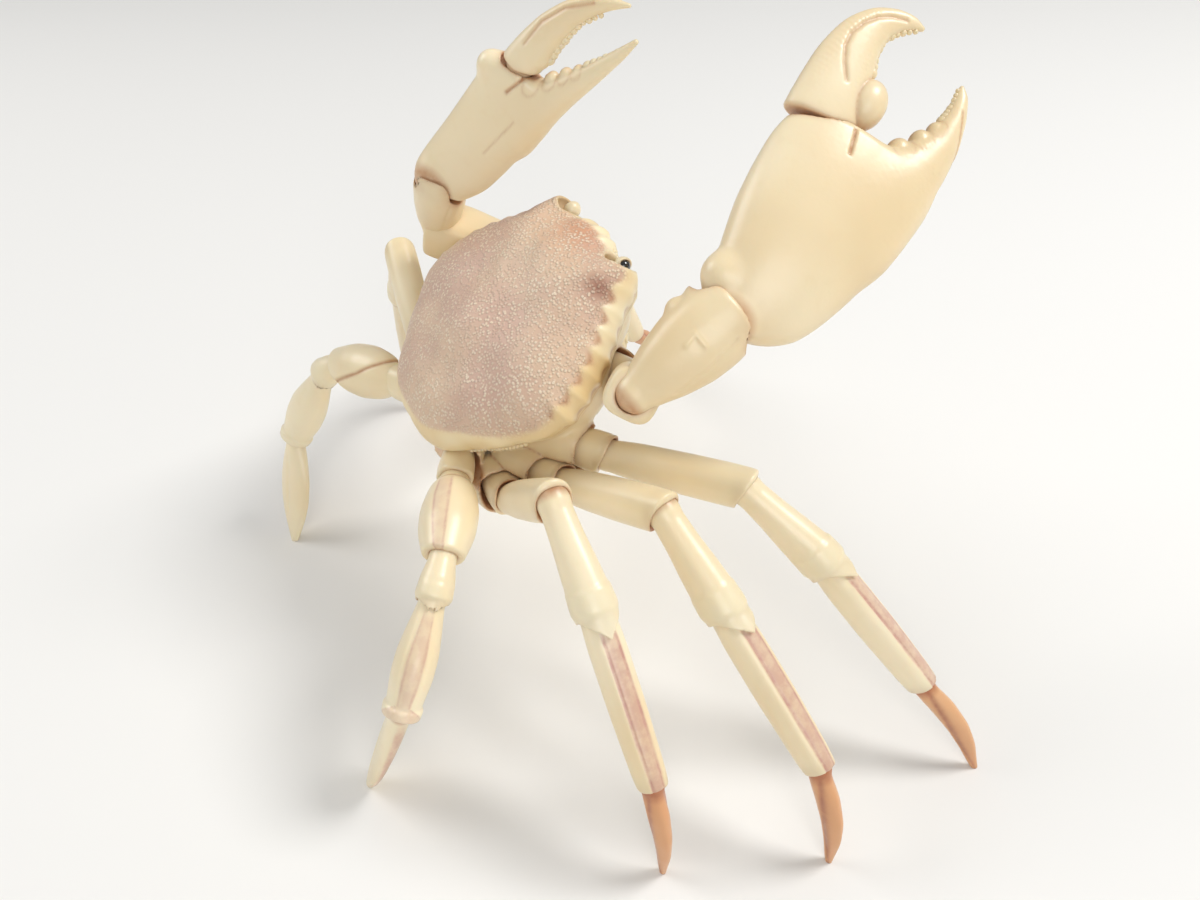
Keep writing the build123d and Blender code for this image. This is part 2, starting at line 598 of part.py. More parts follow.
# Legs: four on each side, each with five pieces on five pins.
for side, leg in leg_sides:
    joints, ways, normal, rises = leg_frame(side, leg)
    name = f"{side}_{leg}_leg"
    is_paddle = leg == "paddle"
    knee = paddle_knee_angles if is_paddle else knee_angles
    wrist = paddle_wrist_angles if is_paddle else wrist_angles
    toe = paddle_toe_angles if is_paddle else toe_angles
    hinge = paddle_hinge if is_paddle else leg_hinge
    last_hinge = paddle_hinge if is_paddle else toe_hinge
    height = paddle_leg_half_height if is_paddle else leg_half_height
    thickness = paddle_leg_half_thickness if is_paddle else leg_half_thickness
    last_height = paddle_leg_half_height if is_paddle else foot_half_height
    reach = height + running_gap
    last_reach = last_height + 2 * running_gap
    if is_paddle:
        last_reach = (last_reach * paddle_spread_share, last_reach)
    hood = hinge["knuckle"]
    root = Plane(origin=joints[0], x_dir=ways[0], z_dir=normal.cross(ways[0]))
    planes = [Plane(origin=spot, x_dir=way, z_dir=normal) for spot, way in zip(joints[1:], ways[1:])]
    ends = [Plane(origin=spot, x_dir=way, z_dir=normal) for spot, way in zip(joints[1:5], ways)]
    bends = [later - earlier for earlier, later in zip(rises, rises[1:])]
    block_half = hinge["tongue"] / 2 + hinge["cheek"]
    block = [
        (0, hinge["tongue"] / 2 + hinge["cheek"], block_half, 0),
        (hip_block_length * 0.5, height, block_half, 0),
        (hip_block_length, height + leg_flare, block_half + hinge_play, 0),
        (hip_block_length + hood, height * 0.85, block_half * 0.85, 0),
    ]
    limb(f"{name}_hip", root, hinge, block, ends[0], hinge,
         bends[0] + lift_angles[0], bends[0] + lift_angles[1], reach)
    if is_paddle:
        merus = [(0, block_half, hinge["knuckle"], 0),
                 (paddle_merus_length * 0.2, paddle_merus_half * 0.75, height, 0),
                 (paddle_merus_length * 0.55, paddle_merus_half * 0.96, paddle_merus_half, 0),
                 (paddle_merus_length, height + leg_flare, height + leg_flare, 0),
                 (paddle_merus_length + hood, height * 0.8, height * 0.8, 0)]
    else:
        merus = shaft_sections(merus_length, hinge, thickness, height, thickness + leg_flare / 2,
                               height + leg_flare / 2, leg_flare, hood)
    limb(f"{name}_merus", planes[0], hinge, merus, ends[1], hinge,
         bends[1] + knee[0], bends[1] + knee[1], reach)
    middle = height + leg_flare / 2 if is_paddle else shin_half_height
    carpus = shaft_sections(paddle_carpus_length if is_paddle else carpus_length, hinge, thickness,
                            height, thickness, middle, leg_flare, hood)
    limb(f"{name}_carpus", planes[1], hinge, carpus, ends[2], hinge,
         bends[2] + wrist[0], bends[2] + wrist[1], reach)
    length = paddle_propodus_length if is_paddle else propodus_length
    middle = paddle_propodus_half if is_paddle else shin_half_height
    propodus = [
        (0, hinge["tongue"] / 2 + hinge["cheek"], hinge["knuckle"], 0),
        (length * 0.2, thickness, height, 0),
        (length * 0.6, paddle_propodus_half_thickness if is_paddle else thickness, middle, 0),
        (length, foot_half_thickness + leg_flare / 2, last_height + leg_flare, 0),
        (length + last_hinge["knuckle"] * 0.6, foot_half_thickness, last_height * 0.85, 0),
    ]
    limb(f"{name}_propodus", planes[2], hinge, propodus, ends[3], last_hinge,
         bends[3] + toe[0], bends[3] + toe[1], last_reach)
    length = paddle_length if is_paddle else dactyl_length
    plane = planes[3]
    half = last_hinge["tongue"] / 2 + last_hinge["cheek"]
    widest = paddle_half_width if is_paddle else foot_half_height * 0.92
    thick = paddle_half_thickness if is_paddle else foot_half_thickness * 0.85
    bow = 0 if is_paddle else tip_curve
    with BuildPart() as dactyl:
        loft([
            ellipse_section(plane, 0, half, last_hinge["knuckle"], 0),
            ellipse_section(plane, length * 0.30, thick * 1.1, widest, bow * 0.8),
            ellipse_section(plane, length * 0.65, thick * 0.75, widest * 0.78, bow),
            ellipse_section(plane, length + foot_overrun, tip_radius, tip_radius, 0),
        ])
        add_knuckle(plane, last_hinge, 3 * last_hinge["ear"])
        split(bisect_by=Plane.XY, keep=Keep.TOP)
    finish(dactyl, f"{name}_dactyl")


def claw_section(plane, shares, unit):
    """A cross-section of a palm or finger: its place, two edges and thickness, in palm lengths."""
    place, high_edge, low_edge, thickness = [share * unit for share in shares]
    half_height = (high_edge - low_edge) / 2
    return ellipse_section(plane, place, thickness / 2, half_height, (high_edge + low_edge) / 2)


# Claws: two arms of five pieces. The last hinge lets the upper finger open and close.
for side in ("right", "left"):
    joints, ways, axes = claw_frame(side)
    name = f"{side}_claw"
    unit = palm_length[side]
    reach = claw_hinge["knuckle"] + running_gap
    hood = claw_hinge["knuckle"] * 0.8
    roots = [Plane(origin=spot, x_dir=way, z_dir=axis) for spot, way, axis in zip(joints, ways, axes)]
    tips = [Plane(origin=spot, x_dir=way, z_dir=axis)
            for spot, way, axis in zip(joints[1:], ways, axes[1:])]
    bends = [first.get_angle(second) for first, second in zip(ways, ways[1:])]
    side_half = claw_hinge["tongue"] / 2 + claw_hinge["cheek"]
    start = (0, side_half, claw_hinge["knuckle"], 0)
    block = [start, (claw_block_length, reach + leg_flare, side_half, 0),
             (claw_block_length + hood, reach * 0.8, side_half * 0.8, 0)]
    limb(f"{name}_hip", roots[0], claw_hinge, block, tips[0], claw_hinge,
         bends[0] + claw_shoulder_angles[side][0], bends[0] + claw_shoulder_angles[side][1], reach)
    length = claw_merus_length[side]
    merus = [start, (length * 0.4, side_half * 1.1, reach * 1.15, 0),
             (length, side_half * 1.05, reach * 1.3, 0), (length + hood, side_half * 0.9, reach, 0)]
    limb(f"{name}_merus", roots[1], claw_hinge, merus, tips[1], claw_hinge,
         bends[1] + claw_elbow_angles[side][0], bends[1] + claw_elbow_angles[side][1],
         (reach, reach * elbow_spread_share))
    length = claw_carpus_length[side]
    swell = side_half * carpus_swell_share[side]
    carpus = [start, (length * 0.40, swell * 0.75, reach * 1.35, 0),
              (length * 0.80, swell, reach * 1.6, 0),
              (length + hood, swell * 0.75, reach * 1.2, 0)]
    wrist_reach = tuple(share * unit for share in wrist_reach_shares[side])
    limb(f"{name}_carpus", roots[2], claw_hinge, carpus, tips[2], claw_hinge,
         bends[2] + claw_wrist_angles[side][0], bends[2] + claw_wrist_angles[side][1], wrist_reach)
    palm_plane = Plane(origin=joints[3], x_dir=ways[3], z_dir=axes[4])
    finger_plane = Plane(origin=joints[4], x_dir=ways[3], z_dir=axes[4])
    with BuildPart() as palm:
        loft([claw_section(palm_plane, shares, unit) for shares in palm_sections_shares[side]])
        loft([claw_section(palm_plane, shares, unit) for shares in thumb_sections_shares[side]])
        finger_reach = tuple(share * unit for share in finger_reach_shares[side])
        cut_socket(finger_plane, claw_hinge, finger_low_angle[side], finger_high_angle[side],
                   finger_reach, unit * 0.35)
        add_knuckle(roots[3], claw_hinge, 2 * side_half)
        drop_crumbs(palm)
        add_pin(finger_plane, claw_hinge)
    finish(palm, f"{name}_palm")
    with BuildPart() as finger:
        loft([claw_section(finger_plane, shares, unit) for shares in finger_sections_shares[side]])
        add_knuckle(finger_plane, claw_hinge, 2 * side_half)
    finish(finger, f"{name}_finger")
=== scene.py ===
# %% [markdown]
# Jointed crab ornament. The real one is carved from a cream, ivory-like material, one small piece at
# a time, and every limb piece turns on a hidden pin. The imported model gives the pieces, the hinges
# and the frame. This script dresses each of them with the carver's shapes and finishes.

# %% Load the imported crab
import json
import math
import bpy
import numpy as np
from functools import reduce
from mathutils import Matrix, Vector


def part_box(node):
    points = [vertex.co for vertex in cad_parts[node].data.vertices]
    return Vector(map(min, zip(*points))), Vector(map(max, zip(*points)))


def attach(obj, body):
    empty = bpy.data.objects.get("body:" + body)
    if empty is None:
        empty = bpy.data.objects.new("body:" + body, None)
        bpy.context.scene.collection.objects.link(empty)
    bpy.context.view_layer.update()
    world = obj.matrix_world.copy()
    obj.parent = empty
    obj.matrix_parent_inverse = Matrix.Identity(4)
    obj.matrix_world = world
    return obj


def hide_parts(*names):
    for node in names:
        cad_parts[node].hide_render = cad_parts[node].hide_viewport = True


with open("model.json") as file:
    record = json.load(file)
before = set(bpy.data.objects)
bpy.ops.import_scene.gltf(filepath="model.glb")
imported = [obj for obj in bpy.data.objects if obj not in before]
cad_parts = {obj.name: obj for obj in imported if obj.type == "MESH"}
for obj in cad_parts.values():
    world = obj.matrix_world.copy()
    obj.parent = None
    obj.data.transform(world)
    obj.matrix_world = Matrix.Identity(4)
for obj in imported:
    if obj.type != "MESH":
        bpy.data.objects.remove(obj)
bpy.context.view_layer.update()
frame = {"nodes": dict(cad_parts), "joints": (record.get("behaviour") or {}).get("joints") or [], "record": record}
print("pieces in the packed crab:", len(frame["nodes"]))

# %% [markdown]
# Every hinge comes with a place and an axis. A piece is easiest to carve in its own frame: x runs
# along the piece, y points to its outer side and z runs along its hinge. A Seat holds such a frame,
# in millimetres, and turns its points back into the crab's frame at the end.

# %% Seats and hinges
MM = 0.001
SIDES = ("right", "left")


def unit(vector):
    vector = np.asarray(vector, float)
    return vector / np.linalg.norm(vector)


class Seat:
    """A piece's own frame in millimetres: where it starts, and its three directions."""

    def __init__(self, spot, along, hinge_axis):
        self.spot = np.asarray(spot, float)
        self.x = unit(along)
        axis = np.asarray(hinge_axis, float)
        self.z = unit(axis - self.x * axis.dot(self.x))
        self.y = np.cross(self.z, self.x)
        self.axes = np.array([self.x, self.y, self.z])

    def place(self, points):
        """This seat's points in the crab's frame, in metres."""
        return (self.spot + points @ self.axes) * MM

    def read_in(self, other):
        """A function that reads this seat's x, y, z in another seat."""
        turn = other.axes @ self.axes.T
        shift = other.axes @ (self.spot - other.spot)
        turn[np.abs(turn) < 1e-9] = 0

        def read(x, y, z):
            return [sum(share * line for share, line in zip(turn[i], (x, y, z)) if share) + shift[i]
                    for i in range(3)]
        return read


def chain(spots):
    """The steps between spots that follow each other, and their lengths."""
    steps = [b - a for a, b in zip(spots, spots[1:])]
    return steps, [float(np.linalg.norm(step)) for step in steps]


# The way to the photographer and the photo's right, for details on that face only.
view_back = np.array([-0.751, 0.256, 0.609])
image_right = np.cross((0, 0, 1), view_back)
hinges = {j["name"]: (np.array(j["pos_m"]) / MM, np.array(j["axis"]), j["range_deg"])
          for j in frame["joints"]}
feet = {m["name"]: np.array(m["pos_m"]) / MM for m in frame["record"]["mounts"]}
print("hinges:", len(hinges), "feet:", len(feet) - 1)

# %% [markdown]
# How to get carved shapes that blend softly and still leave a clean socket? Subdivided boxes make
# good hulls but poor sockets, and boolean cuts on meshes leave sharp, ragged seams. So each piece is
# described as a distance field: a number that is negative inside the piece and positive outside.
# Fields join, cut and blend with plain arithmetic, the way putty and a gouge would.

# %% Distance fields
def join(a, b, soft):
    """Both shapes, with a fillet between them."""
    share = np.clip(0.5 + 0.5 * (b - a) / soft, 0, 1)
    return b + (a - b) * share - soft * share * (1 - share)


def keep(a, b, soft):
    """Only what both shapes hold."""
    return -join(-a, -b, soft)


def carve(a, b, soft):
    """The first shape less the second."""
    return keep(a, -b, soft)


def most(*values):
    return reduce(np.maximum, values)


def ramp(value, start, run):
    """0 up to the start, 1 after the run."""
    return np.clip((value - start) / run, 0, 1)


def near(gap, width):
    """1 on a line, fading on both its sides."""
    return np.exp(-(gap / width) ** 2)


def beside(gap, width):
    """1 inside a shape, fading outside it."""
    return np.exp(-np.maximum(gap, 0) / width)


def below(value, limit, width):
    """1 below a limit, 0 above it, with a soft edge."""
    return 1 / (1 + np.exp((value - limit) / width))


def groove(gap, width, depth):
    """How deep a gouged line cuts at this distance from its middle."""
    return depth * near(gap, width)


def soft_line(places, values, width=0.10):
    """A smooth curve through given values."""
    places = np.asarray(places, float)
    fine = np.linspace(places[0], places[-1], 301)
    line = np.interp(fine, places, values)
    reach = max(int(301 * width), 1)
    padded = np.concatenate([2 * line[0] - line[reach:0:-1], line,
                             2 * line[-1] - line[-2:-reach - 2:-1]])
    bell = np.hanning(2 * reach + 1)
    smooth = np.convolve(padded, bell / bell.sum(), "valid")
    return lambda x: np.interp(x, fine, smooth).astype(np.float32)


def full_row(place, outer, inner=None, side=None, lift=0.0):
    """A shaft's row with what it leaves out: a round section that isn't lifted."""
    return place, outer, outer if inner is None else inner, outer if side is None else side, lift


def shaft(rows, power, cap, width=0.10):
    """A bar along x. Each row: place, outer and inner half-height, half-width and lift."""
    rows = np.array([full_row(*row) for row in rows], float)
    curves = [soft_line(rows[:, 0], rows[:, i], width) for i in range(1, 5)]

    def field(x, y, z):
        outer, inner, side, lift = [curve(x) for curve in curves]
        rise = y - lift
        height = np.where(rise > 0, outer, inner)
        reach = (np.abs(rise / height) ** power + np.abs(z / side) ** power) ** (1 / power)
        body = (reach - 1) * np.minimum(height, side)
        ends = np.maximum(rows[0, 0] - x, x - rows[-1, 0])
        return keep(body, ends + 0 * body, cap)
    return field


def fitted(table, length):
    """A shaft from a table, whose rows start with a share of the length and millimetres past it."""
    rows, power, cap = table
    return shaft([(share * length + past, *sizes) for share, past, *sizes in rows], power, cap)


def on_step(a, b, x, y):
    """How far along one straight step of a path a point is, as a share, and its distance from it."""
    (ax, ay), (bx, by) = a, b
    run = (bx - ax) ** 2 + (by - ay) ** 2
    share = np.clip(((x - ax) * (bx - ax) + (y - ay) * (by - ay)) / run, 0, 1)
    return share, np.hypot(x - ax - share * (bx - ax), y - ay - share * (by - ay))


def along_path(path, x, y):
    """Distance in a plane from a path of given points."""
    return reduce(np.minimum, [on_step(a, b, x, y)[1] for a, b in zip(path, path[1:])])


def horn(rows, power):
    """A bar that curves in the xy plane. Each row: x, y, half-height and half-width."""
    rows = np.array(rows, float)
    marks, fine = np.linspace(0, 1, len(rows)), np.linspace(0, 1, 49)
    line = np.array([soft_line(marks, rows[:, i], 0.08)(fine) for i in range(4)]).T

    def field(x, y, z):
        best = None
        for a, b in zip(line, line[1:]):
            share, gap = on_step(a[:2], b[:2], x, y)
            height, width = a[2] + share * (b[2] - a[2]), a[3] + share * (b[3] - a[3])
            gap = gap / height
            best = [gap, height, width] if best is None else [
                np.where(gap < best[0], new, old) for new, old in zip((gap, height, width), best)]
        reach = (best[0] ** power + np.abs(z / best[2]) ** power) ** (1 / power)
        return (reach - 1) * np.minimum(best[1], best[2])
    return field


def ball(spot, radius, stretch=(1, 1, 1)):
    def field(x, y, z):
        far = np.sqrt(((x - spot[0]) / stretch[0]) ** 2 + ((y - spot[1]) / stretch[1]) ** 2
                      + ((z - spot[2]) / stretch[2]) ** 2)
        return (far - radius) * min(stretch)
    return field


def with_head(bar, radius, soft):
    """A bar with a round head about its hinge."""
    head = ball((0, 0, 0), radius)
    return lambda x, y, z: join(bar(x, y, z), head(x, y, z), soft)


def round_angle(y, z, middle):
    """The angle round a limb from the middle of a band, in radians."""
    return np.angle(np.exp(1j * (np.arctan2(z, y) - middle)))


print("field tools ready")

# %% [markdown]
# Two fields leave room for motion. The first is what a round neck sweeps as it swings, for a socket.
# The second is what a whole piece fills at several angles of its range, for a wide lip or a hollow.

# %% Room for motion
def swept(seat, mouth, low, high, radius):
    """The space that a round neck of this radius sweeps about a joint, read in the parent's seat."""
    read = seat.read_in(mouth)
    middle, half = math.radians(low + high) / 2, math.radians(high - low) / 2

    def field(x, y, z):
        along, across, aside = read(x, y, z)
        forward = along * math.cos(middle) + across * math.sin(middle)
        lateral = np.abs(across * math.cos(middle) - along * math.sin(middle))
        reach = np.maximum(forward * math.cos(half) + lateral * math.sin(half), 0)
        gap = np.hypot(forward - reach * math.cos(half), lateral - reach * math.sin(half))
        gap = np.where(lateral * math.cos(half) > forward * math.sin(half), gap, 0)
        return np.sqrt(gap ** 2 + aside ** 2) - radius
    return field


def socket_of(parent, child, joint, radius):
    """The space that the child's root sweeps in its parent."""
    mouth = Seat(child.spot, parent.x, hinges[joint][1])
    rest = math.degrees(math.atan2(child.x.dot(mouth.y), child.x.dot(mouth.x)))
    low, high = hinges[joint][2]
    return swept(parent, mouth, rest + low, rest + high, radius)


def cleared(parent, child, joint, child_field, gap, steps=5):
    """The space that a whole child fills as it turns about its hinge."""
    _, axis, (low, high) = hinges[joint]
    reads = []
    for degrees in np.linspace(low, high, steps):
        turn = np.array(Matrix.Rotation(math.radians(degrees), 3, Vector(axis)))
        reads.append(parent.read_in(Seat(child.spot, turn @ child.x, turn @ child.z)))
    return lambda x, y, z: reduce(np.minimum, [child_field(*read(x, y, z)) for read in reads]) - gap


print("widest swing to leave room for:", max(high - low for _, _, (low, high) in hinges.values()),
      "degrees")

# %% [markdown]
# A field becomes a mesh by laying a skin over it: one point in each grid cell that the surface
# crosses, and one quad across each grid edge that it crosses. This is known as surface nets. Each
# point is then slid along the field's slope until it lies on the surface, so that the shading shows
# the shape and not the grid.

# %% Skin a field
def skin(values):
    """Points, in grid steps, and quads of the surface where the values change sign."""
    cells = np.array(values.shape) - 1
    count = np.zeros(cells, np.int8)
    sums = np.zeros((*cells, 3), np.float32)
    crossings = []
    for axis in range(3):
        first, second = [slice(None)] * 3, [slice(None)] * 3
        first[axis], second[axis] = slice(None, -1), slice(1, None)
        a, b = values[tuple(first)], values[tuple(second)]
        crossed = (a < 0) != (b < 0)
        share = np.where(crossed, a / np.where(crossed, a - b, 1), 0)
        sides = [k for k in range(3) if k != axis]
        for p in (0, 1):
            for q in (0, 1):
                window = [slice(None)] * 3
                window[sides[0]] = slice(p, p + cells[sides[0]])
                window[sides[1]] = slice(q, q + cells[sides[1]])
                hit = crossed[tuple(window)]
                count += hit
                sums[..., axis] += share[tuple(window)]
                sums[..., sides[0]] += hit * p
                sums[..., sides[1]] += hit * q
        crossings.append((crossed, a < 0, sides))
    cell = np.argwhere(count)
    number = np.full(count.shape, -1, np.int64)
    number[tuple(cell.T)] = np.arange(len(cell))
    points = cell + sums[tuple(cell.T)] / count[tuple(cell.T)][:, None]
    quads = []
    for axis, (crossed, inside, sides) in enumerate(crossings):
        window = [slice(None)] * 3
        window[sides[0]] = window[sides[1]] = slice(1, -1)
        edge = np.argwhere(crossed[tuple(window)])
        edge[:, sides] += 1
        corners = []
        for p, q in ((1, 1), (0, 1), (0, 0), (1, 0)):
            corner = edge.copy()
            corner[:, sides[0]] -= p
            corner[:, sides[1]] -= q
            corners.append(number[tuple(corner.T)])
        quad = np.stack(corners, 1)
        outward = inside[tuple(edge.T)] == (axis != 1)
        quads.append(np.where(outward[:, None], quad, quad[:, ::-1]))
    return points, np.concatenate(quads)


def slide_onto(field, points, step, rounds=3):
    """Move points along the field's slope onto its surface, at most half a step at a time."""
    for _ in range(rounds):
        x, y, z = points.T
        here = field(x, y, z)
        nudge = step * 0.25
        slope = np.stack([field(x + nudge, y, z) - here, field(x, y + nudge, z) - here,
                          field(x, y, z + nudge) - here], 1) / nudge
        size = np.maximum((slope ** 2).sum(1), 0.05)
        move = slope * (here / size)[:, None]
        far = np.maximum(np.linalg.norm(move, axis=1), 1e-9)
        points = points - move * np.minimum(1, step * 0.5 / far)[:, None]
    return points


def into_scene(name, data):
    made = bpy.data.objects.new(name, data)
    bpy.context.scene.collection.objects.link(made)
    return made


def mesh_object(name, points, quads, paint, material):
    mesh = bpy.data.meshes.new(name)
    mesh.vertices.add(len(points))
    mesh.vertices.foreach_set("co", np.ascontiguousarray(points, np.float32).ravel())
    mesh.loops.add(quads.size)
    mesh.loops.foreach_set("vertex_index", quads.astype(np.int32).ravel())
    mesh.polygons.add(len(quads))
    mesh.polygons.foreach_set("loop_start", np.arange(0, quads.size, quads.shape[1], dtype=np.int32))
    mesh.polygons.foreach_set("use_smooth", np.ones(len(quads), bool))
    mesh.update(calc_edges=True)
    for label, values in paint.items():
        layer = mesh.attributes.new(label, "FLOAT", "POINT")
        layer.data.foreach_set("value", np.clip(values, 0, 1).astype(np.float32))
    mesh.materials.append(material)
    return into_scene(name, mesh)


BODY_OF = {node: body for body, nodes in frame["record"]["behaviour"]["bodies"].items()
           for node in nodes}
TONE = "carved_ivory_tone"
carved = {}


def piece(node, seat, field, low, high, step, finish, paint):
    """Carve one piece in its seat, dress it and let it stand for its CAD node."""
    grid = [np.arange(a, b + step, step, dtype=np.float32) for a, b in zip(low, high)]
    x, y, z = np.meshgrid(*grid, indexing="ij", sparse=True)
    values = np.broadcast_to(field(x, y, z), [len(line) for line in grid]).astype(np.float32).copy()
    for axis in range(3):
        edge = [slice(None)] * 3
        for edge[axis] in (0, -1):
            values[tuple(edge)] = np.maximum(values[tuple(edge)], step)
    points, quads = skin(values)
    points = slide_onto(field, np.asarray(low) + points * step, step)
    colours = {"stain": 0.0, "band": 0.0, **paint(*points.T)}
    colours = {label: np.broadcast_to(value, len(points)) for label, value in colours.items()}
    made = mesh_object("carved_" + node, seat.place(points), quads, colours, finish)
    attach(made, BODY_OF[node])
    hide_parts(node)
    carved[node] = len(quads)


# %% [markdown]
# The finishes. The cream material is not one colour: it clouds from pale to warm, darkens to orange
# brown where stain sits in the joints, and carries pinkish bands along the legs. The patterns come
# from noise on Object coordinates, and the stain and the bands from values that the carving stored
# at each point. A small class lets shader sums be written like ordinary sums.

# %% Shader sums
class Wire:
    """One output of a finish's node tree, which can be added, subtracted and multiplied."""

    def __init__(self, finish, socket):
        self.finish, self.socket = finish, socket

    def sum(self, kind, a, b):
        return self.finish.node("ShaderNodeMath", {"operation": kind}, {0: a, 1: b})

    def __add__(self, other): return self.sum("ADD", self, other)
    def __radd__(self, other): return self.sum("ADD", other, self)
    def __sub__(self, other): return self.sum("SUBTRACT", self, other)
    def __rsub__(self, other): return self.sum("SUBTRACT", other, self)
    def __mul__(self, other): return self.sum("MULTIPLY", self, other)
    def __rmul__(self, other): return self.sum("MULTIPLY", other, self)


class Finish:
    """A material, built node by node."""

    def __init__(self, name):
        self.material = bpy.data.materials.new(name)
        self.material.use_nodes = True
        self.tree = self.material.node_tree
        self.surface = self.tree.nodes["Principled BSDF"]

    def node(self, kind, settings=None, values=None, out=0):
        made = self.tree.nodes.new(kind)
        for label, value in (settings or {}).items():
            setattr(made, label, value)
        for label, value in (values or {}).items():
            self.feed(made.inputs[label], value)
        return Wire(self, made.outputs[out])

    def feed(self, socket, value):
        if isinstance(value, Wire):
            self.tree.links.new(value.socket, socket)
        else:
            socket.default_value = value

    def set(self, **values):
        for label, value in values.items():
            self.feed(self.surface.inputs[label.replace("_", " ")], value)

    def place(self):
        return self.node("ShaderNodeTexCoord", out="Object")

    def noise(self, scale, detail, roughness=0.5):
        return self.node("ShaderNodeTexNoise", None,
                         {"Vector": self.place(), "Scale": scale, "Detail": detail,
                          "Roughness": roughness})

    def stored(self, label):
        return self.node("ShaderNodeAttribute", {"attribute_name": label}, out="Fac")

    def mix(self, share, first, second):
        return self.node("ShaderNodeMix", {"data_type": "RGBA"}, {0: share, 6: first, 7: second}, 2)

    def between(self, value, low, high):
        """0 below low, 1 above high."""
        return self.node("ShaderNodeMapRange", {"interpolation_type": "SMOOTHSTEP"},
                         {"Value": value, "From Min": low, "From Max": high})

    def relief(self, height, distance, strength):
        return self.node("ShaderNodeBump", None,
                         {"Height": height, "Distance": distance, "Strength": strength})


def tone(red, green, blue):
    """A colour given as a screen shows it, from 0 to 255."""
    return tuple(((c / 255 + 0.055) / 1.055) ** 2.4 for c in (red, green, blue)) + (1.0,)


print("a colour from the screen:", tone(243, 229, 196))

# %% [markdown]
# The cream clouds and flecks between a pale and a warm tone, and the stain and the bands are worn in
# patches, as where a rag has wiped them off the real one.

# %% The cream of the limbs
def cream_finish(name, pale, warm, band, stain):
    cream = Finish(name)
    cloud = cream.between(cream.noise(45.0, 1.5), 0.25, 0.80)
    grain = cream.noise(1100.0, 2.0)
    colour = cream.mix(cloud, pale, warm)
    flecks = cream.between(cream.noise(420.0, 4.0), 0.50, 0.80)
    colour = cream.mix(flecks * 0.20, colour, warm)
    worn = cream.between(cream.noise(500.0, 4.0, 0.6), 0.30, 0.62)
    colour = cream.mix(cream.stored("band") * (0.55 + 0.40 * worn), colour, band)
    colour = cream.mix(cream.stored("stain") * (0.70 + 0.25 * worn), colour, stain)
    cream.set(Base_Color=colour, Roughness=0.30 + 0.12 * grain + 0.12 * cream.stored("stain"),
              Normal=cream.relief(grain, 0.00004, 0.5))
    cream.set(Subsurface_Weight=0.12, Subsurface_Radius=(1.0, 0.55, 0.25), Subsurface_Scale=0.003,
              Coat_Weight=0.18, Coat_Roughness=0.25, IOR=1.53)
    return cream.material


limb_cream = cream_finish("limb_cream", tone(243, 229, 196), tone(233, 211, 168),
                          tone(196, 146, 132), tone(176, 112, 66))
claw_cream = cream_finish("claw_cream", tone(243, 227, 192), tone(230, 205, 160),
                          tone(196, 146, 132), tone(184, 124, 80))
toe_brown = cream_finish("toe_brown", tone(222, 172, 126), tone(206, 146, 98),
                         tone(168, 104, 78), tone(170, 98, 56))
print("cream finishes ready")

# %% [markdown]
# The shell's top is covered in fine pale granules on a pinkish-brown ground. They are far smaller
# than its skin's grid, so they come from cell noise, with a little relief. The bead is plain black.

# %% The granulated shell and the black bead
def shell_finish():
    shell = Finish("granulated_shell")
    cells = shell.node("ShaderNodeTexVoronoi", {"feature": "F1"},
                       {"Vector": shell.place(), "Scale": 1900.0, "Randomness": 1.0}, "Distance")
    beads = 1 - shell.between(cells, 0.20, 0.62)
    patches = shell.between(shell.noise(300.0, 4.0), 0.34, 0.62)
    broad = shell.between(shell.noise(70.0, 3.0), 0.36, 0.66)
    ground = shell.mix(broad, tone(205, 170, 150), tone(218, 188, 160))
    ground = shell.mix(shell.stored("tint"), ground, tone(206, 148, 112))
    ground = shell.mix(shell.stored("patch"), ground, tone(150, 98, 78))
    lit = beads * (0.30 + 0.60 * patches)
    colour = shell.mix(lit * (1 - 0.6 * shell.stored("patch")), ground, tone(240, 222, 196))
    bare = shell.stored("bare")
    cloud = shell.between(shell.noise(75.0, 2.0), 0.35, 0.68)
    ivory = shell.mix(cloud, tone(245, 231, 194), tone(232, 206, 156))
    colour = shell.mix(bare, colour, ivory)
    # Brown from the stored stain, which on the shell also holds a painted shadow between the edge teeth.
    colour = shell.mix(shell.stored("stain") * 0.85, colour, tone(172, 110, 72))
    rough = shell.noise(900.0, 2.0)
    height = beads * (1 - bare) + 0.10 * rough
    shell.set(Base_Color=colour, Roughness=0.52 - 0.18 * bare,
              Normal=shell.relief(height, 0.00018, 0.9))
    shell.set(Subsurface_Weight=0.08, Subsurface_Radius=(1.0, 0.55, 0.3), Subsurface_Scale=0.002,
              Coat_Weight=0.08, Coat_Roughness=0.3)
    return shell.material


def bead_finish():
    bead = Finish("black_bead")
    haze = bead.noise(300.0, 2.0)
    bead.set(Base_Color=bead.mix(haze, (0.006, 0.006, 0.007, 1), (0.016, 0.014, 0.014, 1)),
             Roughness=0.05 + 0.05 * haze)
    bead.set(Coat_Weight=1.0, Coat_Roughness=0.03)
    return bead.material


shell_granules, black_bead = shell_finish(), bead_finish()
print("shell and bead finishes ready")

# %% [markdown]
# The legs. Each has a hip block and four free pieces. A piece starts as a round head that sits in the
# socket of the piece before it, and ends in a socket cut by the swing of the piece after it. On the
# six walking legs only the lengths differ. The two hind legs end in paddles, as on a swimming crab,
# and are rounder: an egg-shaped merus, a short carpus, a leaf-shaped propodus and a flat blade. So
# one function carves all eight, from two sets of tables.

# %% The legs' tables
LEG_PARTS = ("hip", "merus", "carpus", "propodus", "dactyl")
